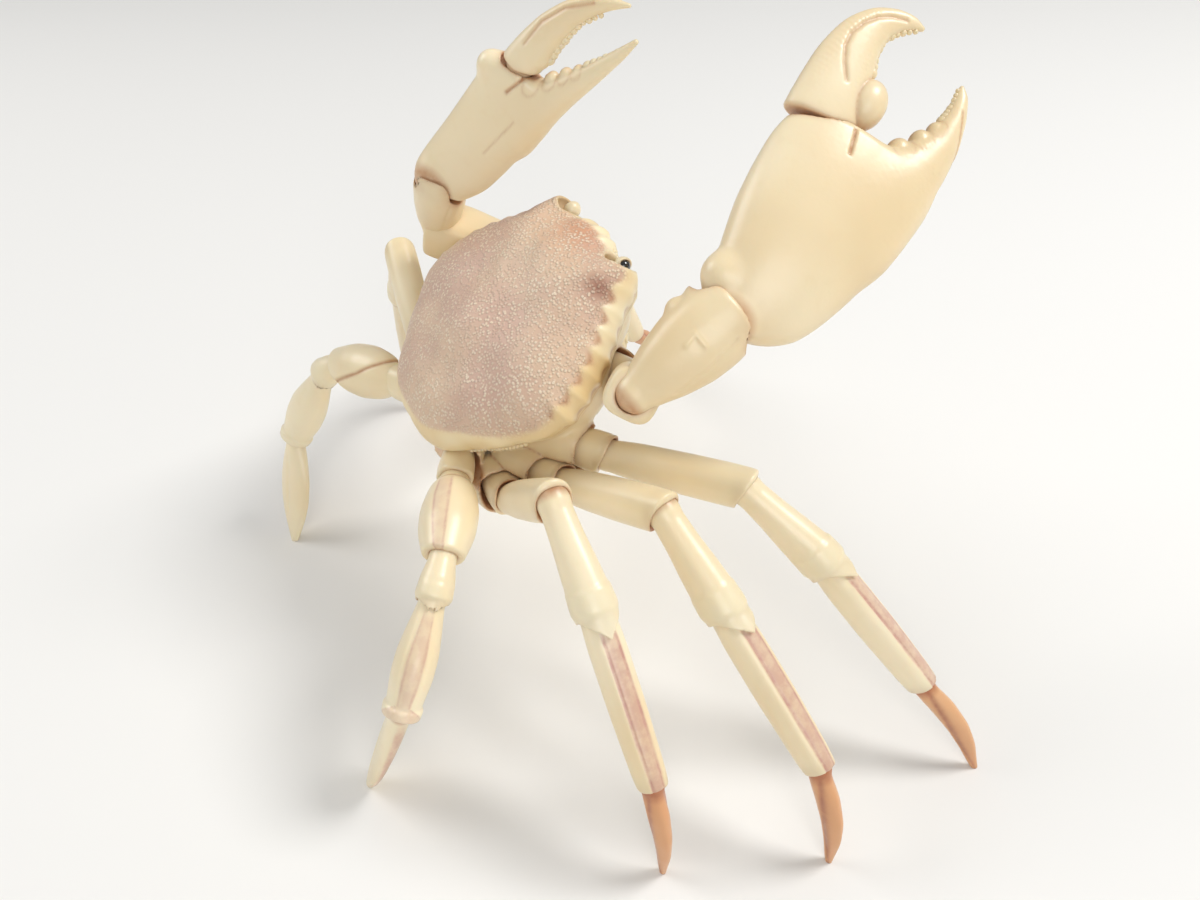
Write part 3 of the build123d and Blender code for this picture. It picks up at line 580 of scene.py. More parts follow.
# Bars: share of the length, millimetres past it, outer and inner half-height, half-width and lift,
# then the section's power and the cap's roundness.
LEG_BARS = {
    "walking": [
        ([(0, -1.6, 2.3), (0, 1.2, 2.9, 2.8, 2.7), (0.6, 0, 3.4, 3.2, 2.95), (1, 0.6, 3.35, 3.2, 2.9),
          (1, 1.8, 3.1, 3.0, 2.75)], 2.6, 0.8),
        ([(0, -1.8, 2.1), (0, 1.5, 2.7, 2.6, 2.4), (0.25, 0, 3.1, 3.0, 2.65), (0.6, 0, 3.25, 3.2, 2.95),
          (0.9, 0, 3.3, 3.2, 3.0), (1, 1.2, 3.2, 3.1, 2.9), (1, 2.6, 2.9, 2.8, 2.7)], 2.2, 1.0),
        ([(0, -1.6, 2.1), (0, 1.5, 2.35, 2.35, 2.3), (0.35, 0, 2.65, 2.6, 2.45),
          (0.62, 0, 3.15, 3.15, 2.8), (0.85, 0, 3.5, 3.45, 3.0), (1, 0.4, 3.3, 3.3, 2.9),
          (1, 2.2, 2.9, 2.9, 2.6)], 2.1, 0.8),
        ([(0, -1.6, 2.2), (0, 1.5, 2.55, 2.5, 2.45), (0, 5.0, 2.95, 2.85, 2.65),
          (0.55, 0, 3.0, 2.95, 2.6), (0.86, 0, 2.75, 2.7, 2.4), (1, -0.6, 2.6, 2.55, 2.3),
          (1, 1.0, 2.35, 2.3, 2.05)], 2.1, 0.5),
        ([(0, -1.2, 1.65, 1.65, 1.6), (0, 1.8, 1.75, 1.75, 1.6, 0.1), (0, 5.2, 2.0, 1.95, 1.6, 1.0),
          (0, 9.5, 1.85, 1.75, 1.35, 1.45), (0, 13.5, 1.4, 1.35, 1.0, 1.15),
          (1, -1.6, 0.85, 0.85, 0.65, 0.4), (1, 0.6, 0.42, 0.42, 0.4)], 1.75, 0.6)],
    "paddle": [
        ([(0, -1.4, 1.9), (0, 0.9, 2.7, 2.6, 2.5), (0.6, 0, 3.1, 3.0, 2.9), (1, 0.5, 3.0, 2.9, 2.9),
          (1, 1.5, 2.7, 2.6, 2.6)], 2.6, 0.6),
        ([(0, -1.4, 1.8), (0, 1.4, 2.7, 2.7, 2.6), (0.24, 0, 4.2, 4.1, 3.8), (0.5, 0, 4.9, 4.8, 4.5),
          (0.74, 0, 4.6, 4.5, 4.3), (0.94, 0, 3.6, 3.5, 3.5), (1, 0.8, 3.0, 2.9, 3.0),
          (1, 2.0, 2.6, 2.5, 2.6)], 2.1, 0.6),
        ([(0, -1.4, 1.75), (0, 1.4, 2.2, 2.1, 2.1), (0.6, 0, 2.9, 2.7, 2.6), (1, 0.6, 2.9, 2.8, 2.6),
          (1, 2.0, 2.6, 2.5, 2.4)], 2.1, 0.6),
        ([(0, -1.4, 1.75), (0, 1.5, 2.1, 2.1, 2.0), (0, 5.0, 3.3, 3.2, 2.6), (0.5, 0, 4.3, 4.1, 3.1),
          (0.72, 0, 4.2, 4.0, 3.1), (0.9, 0, 3.3, 3.3, 2.7), (1, 0.3, 2.9, 2.9, 2.6),
          (1, 1.6, 2.7, 2.7, 2.4)], 2.0, 0.6),
        ([(0, -1.3, 1.8, 1.8, 1.6), (0, 1.6, 2.1, 2.1, 1.7), (0, 5.0, 3.4, 3.4, 1.75),
          (0, 9.0, 4.3, 4.3, 1.6), (0, 13.5, 4.2, 4.2, 1.4), (0, 17.5, 3.1, 3.1, 1.2),
          (1, -1.6, 1.5, 1.5, 0.9), (1, 0.4, 0.7, 0.7, 0.6)], 1.9, 0.6)],
}
# The radius of a piece's head and of the dactyl's, and the fillets that join them to their bars.
HEADS = {"walking": (2.4, 1.7, (0.6, 0.6, 0.6, 0.8)), "paddle": (1.9, 1.9, (0.6, 0.5, 0.6, 0.6))}
# The cut at each far end: how far past the length, how much further on the outer side, its edge.
LEG_ENDS = {"walking": [(0.0, 1.2, 0.5), (0.3, 1.5, 0.4), (0.1, 0.7, 0.5), (0.55, 0.35, 0.25)],
            "paddle": [(0.0, 0.9, 0.4), (0.2, 0.9, 0.4), (0.1, 0.5, 0.4), (0.7, 0.35, 0.3)]}
# The carpus's pointed lip over the propodus: its height, its tip past the length and how far that
# reaches, its half-angle, how far back it starts, and two fillets.
LIPS = {"walking": (0.62, 1.4, 3.6, 1.5, 2.5, 0.5, 1.3), "paddle": (0.5, 0.9, 2.2, 1.4, 1.8, 0.4, 0.8)}
# The grid round each piece: its start, its end past the length, its y from and to, and half its z.
LEG_GRIDS = {"walking": [(-3, 4, -4.2, 4.6, 4), (-3, 4, -4.2, 4.4, 3.8), (-3, 7, -4.6, 4.6, 3.9),
                         (-3, 3, -3.9, 3.9, 3.6), (-2.6, 2, -3.2, 4.4, 2.6)],
             "paddle": [(-2.4, 3, -4, 4, 3.8), (-2.6, 3, -5.6, 5.6, 5.2), (-2.6, 5.4, -4.2, 4.2, 3.9),
                        (-2.6, 3, -5, 5, 4), (-2.6, 1.6, -5, 5, 2.6)]}
LEG_GAP, LIMB_STEP, TOE_STEP = 0.12, 0.24, 0.2
print("leg tables:", {kind: len(bars) for kind, bars in LEG_BARS.items()})

# %% [markdown]
# The real maker rubs brown stain into each socket and round each head, and wipes the rest clean. So
# the paint of a piece is at its strongest in its socket and on its head. A band along the limb is
# gouged at both its edges and holds pink stain.

# %% Carve the legs
hip_shapes = []


def stained_rim(sweep, tint=1.0):
    """Stain that gathers in a socket and fades over its rim."""
    return lambda x, y, z: tint * beside(sweep(x, y, z), 0.28)


def head_stain(x, tint, run):
    return tint * np.clip(0.1 - x / run, 0, 1)


def socket_paint(sweep, tint, run):
    rim = stained_rim(sweep)
    return lambda x, y, z: {"stain": np.maximum(rim(x, y, z), head_stain(x, tint, run))}


def carve_leg(side, leg):
    name, walks = f"{side}_{leg}_leg", leg != "paddle"
    kind = "walking" if walks else "paddle"
    spots = [hinges[f"{name}_{joint}"][0] for joint in ("swing", "lift", "knee", "wrist", "toe")]
    spots.append(feet[f"{side}_{leg}_foot"])
    steps, lengths = chain(spots)
    _, thigh, calf, shin, toe = lengths
    seats = [Seat(spot, step, hinges[f"{name}_lift"][1]) for spot, step in zip(spots, steps)]
    hip, merus, carpus, propodus, dactyl = seats
    head, toe_head, fillets = HEADS[kind]
    hip_bar, *bars = [fitted(table, length) for table, length in zip(LEG_BARS[kind], lengths)]
    merus_bar, carpus_bar, propodus_root, dactyl_bar = [
        with_head(bar, radius, soft)
        for bar, radius, soft in zip(bars, (head, head, head, toe_head), fillets)]
    hip_shapes.append((hip, f"{name}_swing", hip_bar))
    lift, knee, wrist, toe_socket = [
        socket_of(parent, child, f"{name}_{joint}", radius + LEG_GAP)
        for parent, child, joint, radius in zip(seats, seats[1:], ("lift", "knee", "wrist", "toe"),
                                                (head, head, head, toe_head))]

    def trimmed(part, bar, x, y, z):
        """A piece cut off at its far end, which reaches further on its outer side."""
        past, hood, soft = LEG_ENDS[kind][part]
        around = y / np.maximum(np.hypot(y, z), 0.3)
        return keep(bar, x - lengths[part] - past - hood * around, soft)

    def socket_line(sweep, wanted):
        """A fine line gouged round a socket."""
        return groove(sweep - 0.62, 0.13, 0.08) * wanted

    def hip_field(x, y, z):
        sweep = lift(x, y, z)
        bar = trimmed(0, hip_bar(x, y, z), x, y, z)
        return carve(bar + socket_line(sweep, walks), sweep, 0.15)

    # The crease on a paddle leg's merus, which isn't the same on both sides.
    fold = [(1.5, 3.6), (thigh * 0.42, 0.4), (thigh * 0.86, -2.6)] if side == "left" else \
           [(2.6, 4.6), (3.4, 0.0), (2.6, -4.6)]

    def merus_field(x, y, z):
        bar, sweep = merus_bar(x, y, z), knee(x, y, z)
        if not walks:
            bar = bar + groove(along_path(fold, x, y), 0.28, 0.30)
        bar = trimmed(1, bar, x, y, z)
        return carve(bar + socket_line(sweep, not walks), sweep, 0.30 if walks else 0.12)

    def flutes(y, z, width):
        return near(np.abs(np.abs(np.arctan2(z, y)) - 0.85), width)

    def dactyl_field(x, y, z):
        bar = dactyl_bar(x, y, z)
        if walks:
            bar = bar + 0.13 * (flutes(y, z, 0.20) * ramp(x, 0, 3)) * ramp(toe - x, 0, 4)
        else:
            bar = bar + groove(y - 0.035 * x, 0.45, 0.16) * ramp(x, 2, 3) * ramp(toe - 4 - x, 0, 3)
        height = dactyl.spot[2] + x * dactyl.x[2] + y * dactyl.y[2] + z * dactyl.z[2]
        return keep(bar, -height, 0.1)

    def band(y, z):
        """A walking leg's band: 1 in its middle, and its two gouged edges."""
        angle = np.abs(round_angle(y, z, 0.0))
        return below(angle, 0.36, 0.035), near(angle - 0.36, 0.07)

    def propodus_field(x, y, z):
        bar = propodus_root(x, y, z)
        if walks:
            inside, edges = band(y, z)
            bar = bar + ramp(x, 2.5, 2.5) * (0.10 * edges + 0.05 * inside)
        else:
            ring = np.abs(x - shin - 0.2 - 0.4 * y / 3) - 1.1
            bar = join(bar, keep(bars[2](x, y, z) - 0.35, ring, 0.4), 0.4)
            edges = near(np.abs(round_angle(y, z, 0.1)) - 0.42, 0.07)
            bar = bar + 0.10 * edges * ramp(x, 2, 2)
        return carve(trimmed(3, bar, x, y, z), toe_socket(x, y, z), 0.12)

    wrist_space = cleared(carpus, propodus, f"{name}_wrist", propodus_root, LEG_GAP)
    to_propodus = carpus.read_in(propodus)
    wall, tip_past, tip_reach, half_angle, tip_back, edge, fillet = LIPS[kind]

    def carpus_field(x, y, z):
        bar = trimmed(2, carpus_bar(x, y, z), x, y, z)
        child = propodus_field(*to_propodus(x, y, z))
        angle = np.abs(np.arctan2(z, y))
        tip = calf + tip_past + tip_reach * np.clip(1 - angle / half_angle, 0, 1) ** 1.3
        lip = keep(keep(child - wall, x - tip, 0.3), calf - tip_back - x, edge)
        bar = carve(join(bar, lip, fillet), wrist_space(x, y, z), 0.1)
        return carve(bar, wrist(x, y, z), 0.12)

    tint, run = 0.85 if walks else 0.8, 1.2

    def merus_paint(x, y, z):
        paint = socket_paint(knee, tint, run)(x, y, z)
        if walks:
            return paint
        angle = np.abs(round_angle(y, z, 0.5))
        pink = 0.35 * below(angle, 0.24, 0.03) + 0.6 * near(angle - 0.24, 0.045)
        crease = 0.8 * near(along_path(fold, x, y), 0.35)
        return {"stain": np.maximum(paint["stain"], crease), "band": pink * ramp(x, 3, 2)}

    def propodus_paint(x, y, z):
        rim = stained_rim(toe_socket, 0.9)(x, y, z)
        if walks:
            inside, edges = band(y, z)
            pink = ramp(x, 2.5, 2.0) * np.clip(0.75 * inside + edges, 0, 1)
        else:
            angle, half = np.abs(round_angle(y, z, 0.1)), 0.28 + 0.9 * ramp(x, shin - 1.2, 1.5)
            pink = (0.45 * below(angle, half, 0.04) + 0.5 * near(angle - half, 0.06)) * ramp(x, 1.5, 2)
        return {"stain": np.maximum(rim, head_stain(x, tint, run)), "band": pink}

    # A paddle's blade is tinted on the half of it that faces the photo's right.
    tinted = 1 if dactyl.z.dot(image_right) > 0 else -1

    def dactyl_paint(x, y, z):
        if walks:
            return {"stain": np.clip(1.2 - (x - 0.5) / 1.6, 0, 1), "band": 0.9 * flutes(y, z, 0.24)}
        pink = ramp(y, 1.3, 0.5) * ramp(x, 0, 3) * below(-tinted * z, 0, 0.10)
        return {"stain": np.clip(0.7 - (x - 0.2) / 1.2, 0, 1), "band": 0.75 * pink}

    fields = (hip_field, merus_field, carpus_field, propodus_field, dactyl_field)
    paints = (socket_paint(lift, tint, run), merus_paint, socket_paint(wrist, tint, run),
              propodus_paint, dactyl_paint)
    for part, seat, length, field, paint, (start, past, low, high, half) in zip(
            LEG_PARTS, seats, lengths, fields, paints, LEG_GRIDS[kind]):
        brown = walks and part == "dactyl"
        finish, slot = (toe_brown, "stained_tip") if brown else (limb_cream, TONE)
        piece(f"{name}_{part}", seat, field, (start, low, -half), (length + past, high, half),
              TOE_STEP if brown else LIMB_STEP, finish, paint)


LEGS = [(side, leg) for side in SIDES for leg in ("first", "second", "third")]
for side, leg in LEGS + [(side, "paddle") for side in SIDES]:
    carve_leg(side, leg)
print("legs carved:", len(carved), "pieces")

# %% [markdown]
# The claws. Each arm is a hip block, a merus, a wedge-shaped carpus and a broad palm whose lower end
# runs out into a fixed finger. The upper finger turns on a hidden pin. The palm is a wide shaft and
# its finger a horn, joined by a soft fillet, and the palm's top is carved by the moving finger's own
# shape at each of its angles, so that the seam is as tight as on the real one.

# %% The claws' tables, in millimetres in the palm's plane
# The palm: place, upper edge, lower edge and half-thickness.
PALM = {
    "right": [(-1.5, 2.6, -5.2, 2.6), (0.8, 3.3, -9.6, 3.2), (4.5, 4.4, -11.9, 4.3),
              (9.5, 5.4, -14.0, 5.2), (15.0, 6.3, -15.7, 5.5), (20.2, 6.5, -16.9, 5.2),
              (25.6, 6.3, -17.5, 4.6), (29.2, 5.4, -16.4, 3.9), (31.4, 3.8, -13.0, 3.3)],
    "left": [(-1.2, 4.2, -4.9, 2.5), (1.5, 4.7, -6.2, 2.9), (4.7, 4.6, -7.4, 3.2),
             (10.4, 4.4, -8.1, 3.6), (15.6, 4.4, -8.4, 3.6), (21.0, 4.4, -8.0, 3.2),
             (24.4, 3.9, -6.6, 2.8), (26.2, 2.6, -4.8, 2.5)],
}
# The fixed and the moving finger: x, y, half-height and half-width.
THUMB = {
    "right": [(19.0, -9.9, 6.6, 4.2), (27.0, -12.3, 5.6, 3.7), (31.5, -14.2, 4.1, 3.1),
              (36.0, -15.6, 2.7, 2.2), (40.5, -15.8, 1.6, 1.45), (43.6, -15.2, 0.95, 0.9),
              (45.0, -14.5, 0.35, 0.4)],
    "left": [(17.0, -5.0, 3.9, 3.0), (23.0, -6.0, 3.3, 2.7), (28.0, -7.4, 2.4, 2.1),
             (33.5, -9.1, 1.55, 1.5), (38.5, -10.4, 0.9, 0.95), (41.6, -11.0, 0.4, 0.4)],
}
FINGER = {
    "right": [(-3.0, 1.2, 5.4, 3.0), (0.4, 1.4, 5.3, 3.0), (3.7, 1.6, 5.0, 2.9), (8.2, 1.9, 4.4, 2.5),
              (12.5, 1.7, 3.4, 2.0), (15.6, 0.4, 2.5, 1.5), (17.6, -1.7, 1.7, 1.1),
              (18.6, -3.8, 1.05, 0.8), (18.7, -5.6, 0.35, 0.4)],
    "left": [(-2.5, 0.0, 3.1, 2.5), (0.3, 0.0, 3.0, 2.5), (3.4, -0.2, 2.9, 2.3), (7.4, -0.5, 2.5, 1.9),
             (11.4, -1.4, 1.9, 1.5), (14.6, -3.1, 1.4, 1.15), (17.0, -5.2, 0.85, 0.8),
             (18.6, -7.2, 0.3, 0.35)],
}
# The fixed finger's round molars: x, y and radius. The moving finger has one: its spot and stretch.
THUMB_MOLARS = {
    "right": [(32.4, -10.5, 1.9), (35.2, -12.6, 1.7), (37.6, -13.9, 1.35)],
    "left": [(25.6, -3.5, 1.25), (28.0, -4.9, 1.25), (30.2, -6.1, 1.1), (32.1, -7.2, 0.95)],
}
FINGER_MOLAR = {"right": ((5.1, -3.5, 0), (3.7, 2.9, 3.0)), "left": ((3.4, -2.3, 0), (1.9, 1.1, 1.5))}
THUMB_TEETH = {"right": [(39.4, -14.3), (42.0, -14.6), (44.4, -14.2)],
               "left": [(33.7, -8.0), (37.0, -9.4), (40.6, -10.6)]}
FINGER_TEETH = {"right": [(9.4, -2.1), (12.6, -1.3), (14.8, -1.7), (16.7, -3.3), (17.9, -4.9)],
                "left": [(4.0, -2.9), (8.0, -3.0), (11.6, -3.4), (14.6, -5.0)]}
# Gouged lines: along the moving finger, beside its hinge and low on the palm.
FLUTE = {"right": [(5.5, 0.9), (7.6, 2.3), (9.8, 3.2), (12.0, 3.2), (14.2, 2.3), (16.0, 0.9),
                   (17.3, -0.9), (18.1, -3.0)],
         "left": [(4.0, 1.0), (8.0, 0.9), (12.0, -0.6), (15.5, -3.3)]}
SLIT = {"right": [(26.8, -3.9), (30.4, -3.3)], "left": [(22.6, -1.2), (26.0, -2.0)]}
SCRATCH = {"right": [(33.0, -18.6), (37.5, -17.4), (41.6, -15.9)], "left": [(12.0, -4.0), (20.0, -4.8)]}
# A swelling on the palm's upper edge: its spot and radius.
KNOB = {"right": ((4.9, 3.3, 0.6), 2.6), "left": ((22.6, 3.7, 0.4), 1.8)}
# Bars of the hip block, merus and carpus, with rows as on the legs.
CLAW_HIP = ([(0, -1.8, 2.4), (0, 1.2, 3.0), (0.6, 0, 3.5, 3.4, 3.3), (1, 0.8, 3.5, 3.4, 3.3),
             (1, 2.0, 3.2, 3.1, 3.0)], 2.5, 0.8)
CLAW_ARM = {
    "right": ([(0, -1.7, 2.4), (0, 1.6, 3.0), (0.4, 0, 3.6, 3.5, 3.5), (0.8, 0, 4.0, 3.9, 3.7),
               (1, 0.8, 3.9, 3.8, 3.6), (1, 2.4, 3.4, 3.3, 3.2)], 3.2, 0.9),
    "left": ([(0, -1.7, 2.4), (0, 1.6, 3.2), (0.35, 0, 4.2, 4.2, 4.0), (0.75, 0, 5.0, 4.8, 4.6),
              (1, 0.8, 4.9, 4.6, 4.4), (1, 2.4, 4.4, 4.0, 3.9)], 3.2, 0.9),
}
CLAW_WEDGE = {
    "right": ([(0, -1.6, 2.4, 2.4, 2.5), (0, 1.6, 3.1, 3.0, 3.3), (0.34, 0, 4.0, 3.9, 4.7),
               (0.6, 0, 4.6, 4.5, 5.7), (0.85, 0, 4.8, 4.6, 5.9), (1, 1.2, 4.6, 4.4, 5.4),
               (1, 3.4, 4.2, 4.0, 4.6)], 2.2, 1.2),
    "left": ([(0, -1.6, 2.4, 2.4, 2.5), (0, 1.4, 3.1, 3.0, 3.2), (0.34, 0, 4.0, 3.8, 4.1),
              (0.6, 0, 4.5, 4.2, 4.5), (0.85, 0, 4.6, 4.3, 4.6), (1, 1.0, 4.3, 4.1, 4.3),
              (1, 3.0, 3.9, 3.7, 3.8)], 2.2, 1.2),
}
CLAW_GAP, KNUCKLE, PALM_STEP = 0.13, 2.6, 0.28
print("palms:", {side: f"{rows[-1][0] - rows[0][0]:.1f} mm long" for side, rows in PALM.items()})

# %% [markdown]
# On the real one the palm turns in the carpus and the finger in the palm with hardly a gap. Here each
# of those sockets is carved by the next piece itself. The palm's field is built first, because the
# carpus needs it, and the finger's before the palm's.

# %% Carve the claws
def palm_bar(rows):
    """The palm's shaft, from its two edges and its half-thickness at each place."""
    return shaft([(place, (high - low) / 2, (high - low) / 2, side, (high + low) / 2)
                  for place, high, low, side in rows], 2.1, 1.4)


def carve_claw(side):
    name, is_right = f"{side}_claw", side == "right"
    joints = ("swing", "shoulder", "elbow", "wrist", "finger_hinge")
    spots, axes, _ = zip(*[hinges[f"{name}_{joint}"] for joint in joints])
    steps, (block, upper, fore, _) = chain(spots)
    seat_axes = (axes[1], axes[1], axes[2], axes[4])
    hip, merus, carpus, palm = [Seat(*seat) for seat in zip(spots, steps, seat_axes)]
    finger = Seat(spots[4], palm.x, axes[4])

    horn_bar = horn(FINGER[side], 2.2)
    molar_spot, molar_stretch = FINGER_MOLAR[side]
    molar = ball(molar_spot, 1.0, molar_stretch)

    def finger_foot(x, y):
        return np.maximum(-x - 0.09 * y, -x - 0.36 * y) - 0.3

    def finger_body(x, y, z):
        bar = keep(horn_bar(x, y, z), finger_foot(x, y), 0.7)
        return bar + groove(along_path(FLUTE[side], x, y), 0.30, 0.26)

    def finger_field(x, y, z):
        bar = join(finger_body(x, y, z), molar(x, y, z), 0.18)
        return join(bar, ball((0, 0, 0), KNUCKLE - 0.4)(x, y, z), 0.3)

    finger_space = cleared(palm, finger, f"{name}_finger_hinge", finger_field, CLAW_GAP)
    wide, thumb, knob = palm_bar(PALM[side]), horn(THUMB[side], 2.1), ball(*KNOB[side])
    to_wrist = palm.read_in(Seat(spots[3], palm.x, axes[3]))

    def hand_field(x, y, z):
        along, across, aside = to_wrist(x, y, z)
        root = np.sqrt((along / 4.2) ** 2 + (across / 4.2) ** 2 + (aside / 3.3) ** 2)
        return join(join(wide(x, y, z), (root - 1) * 3.3, 1.2), knob(x, y, z), 1.8)

    def palm_field(x, y, z):
        bar = join(hand_field(x, y, z), thumb(x, y, z), 1.6)
        for place, lift, radius in THUMB_MOLARS[side]:
            bar = join(bar, ball((place, lift, 0), radius, (1.0, 0.85, 1.0))(x, y, z), 0.18)
        bar = bar + groove(along_path(SLIT[side], x, y), 0.20, 0.40)
        bar = bar + groove(along_path(SCRATCH[side], x, y), 0.14, 0.10)
        return carve(bar, finger_space(x, y, z), 0.15)

    palm_space = cleared(carpus, palm, f"{name}_wrist", hand_field, CLAW_GAP, 6)
    wedge = with_head(fitted(CLAW_WEDGE[side], fore), KNUCKLE, 0.7)
    # The carpus is incised only on the face that is turned to the photographer.
    carpus_face = 1 if carpus.y.dot(view_back) > 0 else -1
    fold = [(fore * 0.30, -3.4), (fore * 0.62, -3.6), (fore * 0.95, -3.0)]
    tick = [(fore * 0.60, 0.9), (fore * 0.72, 1.3), (fore * 0.72, -0.9)]

    def carpus_field(x, y, z):
        bar, on_face = wedge(x, y, z), y * carpus_face > 0
        if is_right:
            for place, aside, size in ((fore - 0.9, 4.7, 1.7), (fore - 4.0, 5.1, 1.6)):
                bar = join(bar, ball((place, 0.6, aside), size)(x, y, z), 0.9)
            bar = bar - groove(along_path(tick, x, z), 0.35, 0.16) * on_face
        bar = bar + groove(along_path(fold, x, z), 0.25, 0.14) * on_face
        return carve(keep(bar, x - fore - 2.6, 1.2), palm_space(x, y, z), 0.25)

    elbow = socket_of(merus, carpus, f"{name}_elbow", KNUCKLE + CLAW_GAP)
    arm = with_head(fitted(CLAW_ARM[side], upper), KNUCKLE, 0.6)

    def merus_field(x, y, z):
        return carve(keep(arm(x, y, z), x - upper - 1.3, 0.8), elbow(x, y, z), 0.25)

    shoulder = socket_of(hip, merus, f"{name}_shoulder", KNUCKLE + CLAW_GAP)
    hip_bar = fitted(CLAW_HIP, block)
    hip_shapes.append((hip, f"{name}_swing", hip_bar))

    def hip_field(x, y, z):
        return carve(keep(hip_bar(x, y, z), x - block - 1.0, 0.6), shoulder(x, y, z), 0.2)

    tint, run = 0.8, 1.3

    def carpus_paint(x, y, z):
        return {"stain": most(0.9 * beside(palm_space(x, y, z), 0.3), head_stain(x, tint, run))}

    def finger_paint(x, y, z):
        crease = beside(np.abs(molar(x, y, z) - finger_body(x, y, z)), 0.22) * is_right
        foot = beside(np.abs(finger_foot(x, y)), 0.35)
        line = near(along_path(FLUTE[side], x, y), 0.3)
        return {"stain": most(0.55 * crease, 0.75 * foot, 0.5 * line)}

    def palm_paint(x, y, z):
        cut = 0.9 * near(along_path(SLIT[side], x, y), 0.28)
        line = (0.7 if is_right else 0.35) * near(along_path(SCRATCH[side], x, y), 0.18)
        rim = 0.9 * beside(finger_space(x, y, z), 0.22)
        root = 0.8 * np.clip((4.6 - np.hypot(x + 1.5, y)) / 1.5, 0, 1)
        seams = [beside(np.abs(np.hypot(x - place, (y - lift) / 0.85) - radius), 0.2)
                 * (y > lift - radius) for place, lift, radius in THUMB_MOLARS[side]]
        return {"stain": most(cut, line, rim, root, 0.35 * most(*seams))}

    for part, seat, field, low, high, step, paint in (
            ("hip", hip, hip_field, (-3, -4.2, -4.2), (block + 3, 4.2, 4.2), LIMB_STEP,
             socket_paint(shoulder, tint, run)),
            ("merus", merus, merus_field, (-3.2, -5.4, -5.2), (upper + 3, 5.6, 5.2), LIMB_STEP,
             socket_paint(elbow, tint, run)),
            ("carpus", carpus, carpus_field, (-3.2, -5.8, -6.8), (fore + 3.6, 5.8, 6.8), LIMB_STEP,
             carpus_paint),
            ("palm", palm, palm_field, (-5.4, -20, -6.4), (46, 8, 6.4), PALM_STEP, palm_paint),
            ("finger", finger, finger_field, (-3.4, -8.4, -3.8), (20.4, 7.6, 3.8), LIMB_STEP,
             finger_paint)):
        piece(f"{name}_{part}", seat, field, low, high, step, claw_cream, paint)
    return palm, finger


claw_seats = {side: carve_claw(side) for side in SIDES}
print("claws carved:", len(carved), "pieces so far")

# %% [markdown]
# The shell is a low dome with a toothed edge. Its top is tinted and covered in fine cream grains, and
# under the edge runs a bare cream flank with two incised lines. Its outline is one smooth curve
# through given points, the dome is a rounded profile on that outline, and the eye sockets, dimples
# and lines are gouged from it.

# %% Carve the shell
shell_x = unit(hinges["tail_flap_hinge"][1])
shell_z = unit(hinges["right_eyestalk_hinge"][1])
shell_height = 54.9
shell = Seat((0, 0, shell_height), shell_x, shell_z)
OUTLINE = [(0.0, 21.8), (2.8, 21.5), (5.6, 20.7), (8.2, 20.6), (10.4, 21.4), (12.0, 21.0), (13.4, 17.8),
           (14.9, 15.2), (17.2, 12.3), (19.3, 9.3), (20.9, 6.3), (22.1, 3.0), (22.8, -0.6), (22.3, -4.6),
           (18.6, -9.6), (13.2, -15.8), (8.6, -20.4), (5.4, -21.6), (0.0, -21.8)]
# Teeth: x, y and size. Dimples: x, y, width and depth, below nought where the shell swells.
SIDE_TEETH = [(13.2, 18.4, 0.75), (15.2, 15.4, 0.8), (17.4, 12.6, 0.85), (19.4, 9.7, 0.9),
              (21.0, 6.6, 0.95), (22.2, 3.3, 1.0), (22.9, -0.4, 1.15)]
FRONT_TEETH = [(0.0, 21.9, 1.0), (2.9, 21.4, 0.85)]
DIMPLES = [(6.5, 4.0, 4.5, 0.55), (-6.5, 4.0, 4.5, 0.55), (9.5, -5.0, 4.0, 0.45),
           (-9.5, -5.0, 4.0, 0.45), (0.0, 8.5, 3.2, 0.40), (4.0, -11.0, 3.5, 0.40),
           (-4.0, -11.0, 3.5, 0.40), (13.0, 7.5, 3.0, 0.35), (-13.0, 7.5, 3.0, 0.35),
           (0.0, 14.5, 2.4, -0.35), (0.0, -2.5, 4.0, -0.45)]
SHELL_RISE, EDGE_DROP, FLANK_FLOOR, LINES_TOP = 7.3, -1.0, -5.0, -2

right_edge = [(math.atan2(x, y), math.hypot(x, y)) for x, y in OUTLINE]
edge_line = soft_line([a for a, _ in right_edge], [r for _, r in right_edge], 0.012)


def front_angle(x, y):
    """The angle from the front, the same on both sides."""
    return np.abs(np.arctan2(x, y))


def tooth(x, y, spot_x, spot_y, width):
    """1 where an edge tooth points."""
    return near(front_angle(x, y) - math.atan2(spot_x, spot_y), width)


def edge_share(x, y):
    """Where a point is between the shell's middle and its edge, and the edge's distance."""
    far, edge = np.hypot(x, y), edge_line(front_angle(x, y))
    outer = np.clip((far / edge - 0.86) / 0.12, 0, 1)
    for teeth, reach, width in ((SIDE_TEETH, 0.55, 0.035), (FRONT_TEETH, 0.8, 0.05)):
        for spot_x, spot_y, size in teeth:
            edge = edge + outer * reach * size * tooth(x, y, spot_x, spot_y, width)
    return far / edge, edge


def line_on_flank(x, y, z):
    """The two incised lines along the bare flank, which end before the rear."""
    rear = 3 * np.clip((-y - 10) / 4, 0, 1)
    return np.minimum(np.abs(z + 2.9 + 0.02 * y), np.abs(z + 3.9)) + rear


def orbit_bowl(x, y, z):
    """The hollow for an eye and its stalk, the same on both sides."""
    aside = np.abs(x)
    bowl = ball((8.4, 20.4, 0.5), 1.0, (2.7, 2.3, 2.4))(aside, y, z)
    stalk = ball((7.3, 18.4, 0.2), 2.0)(aside, y, z)
    return join(bowl, stalk, 0.6)


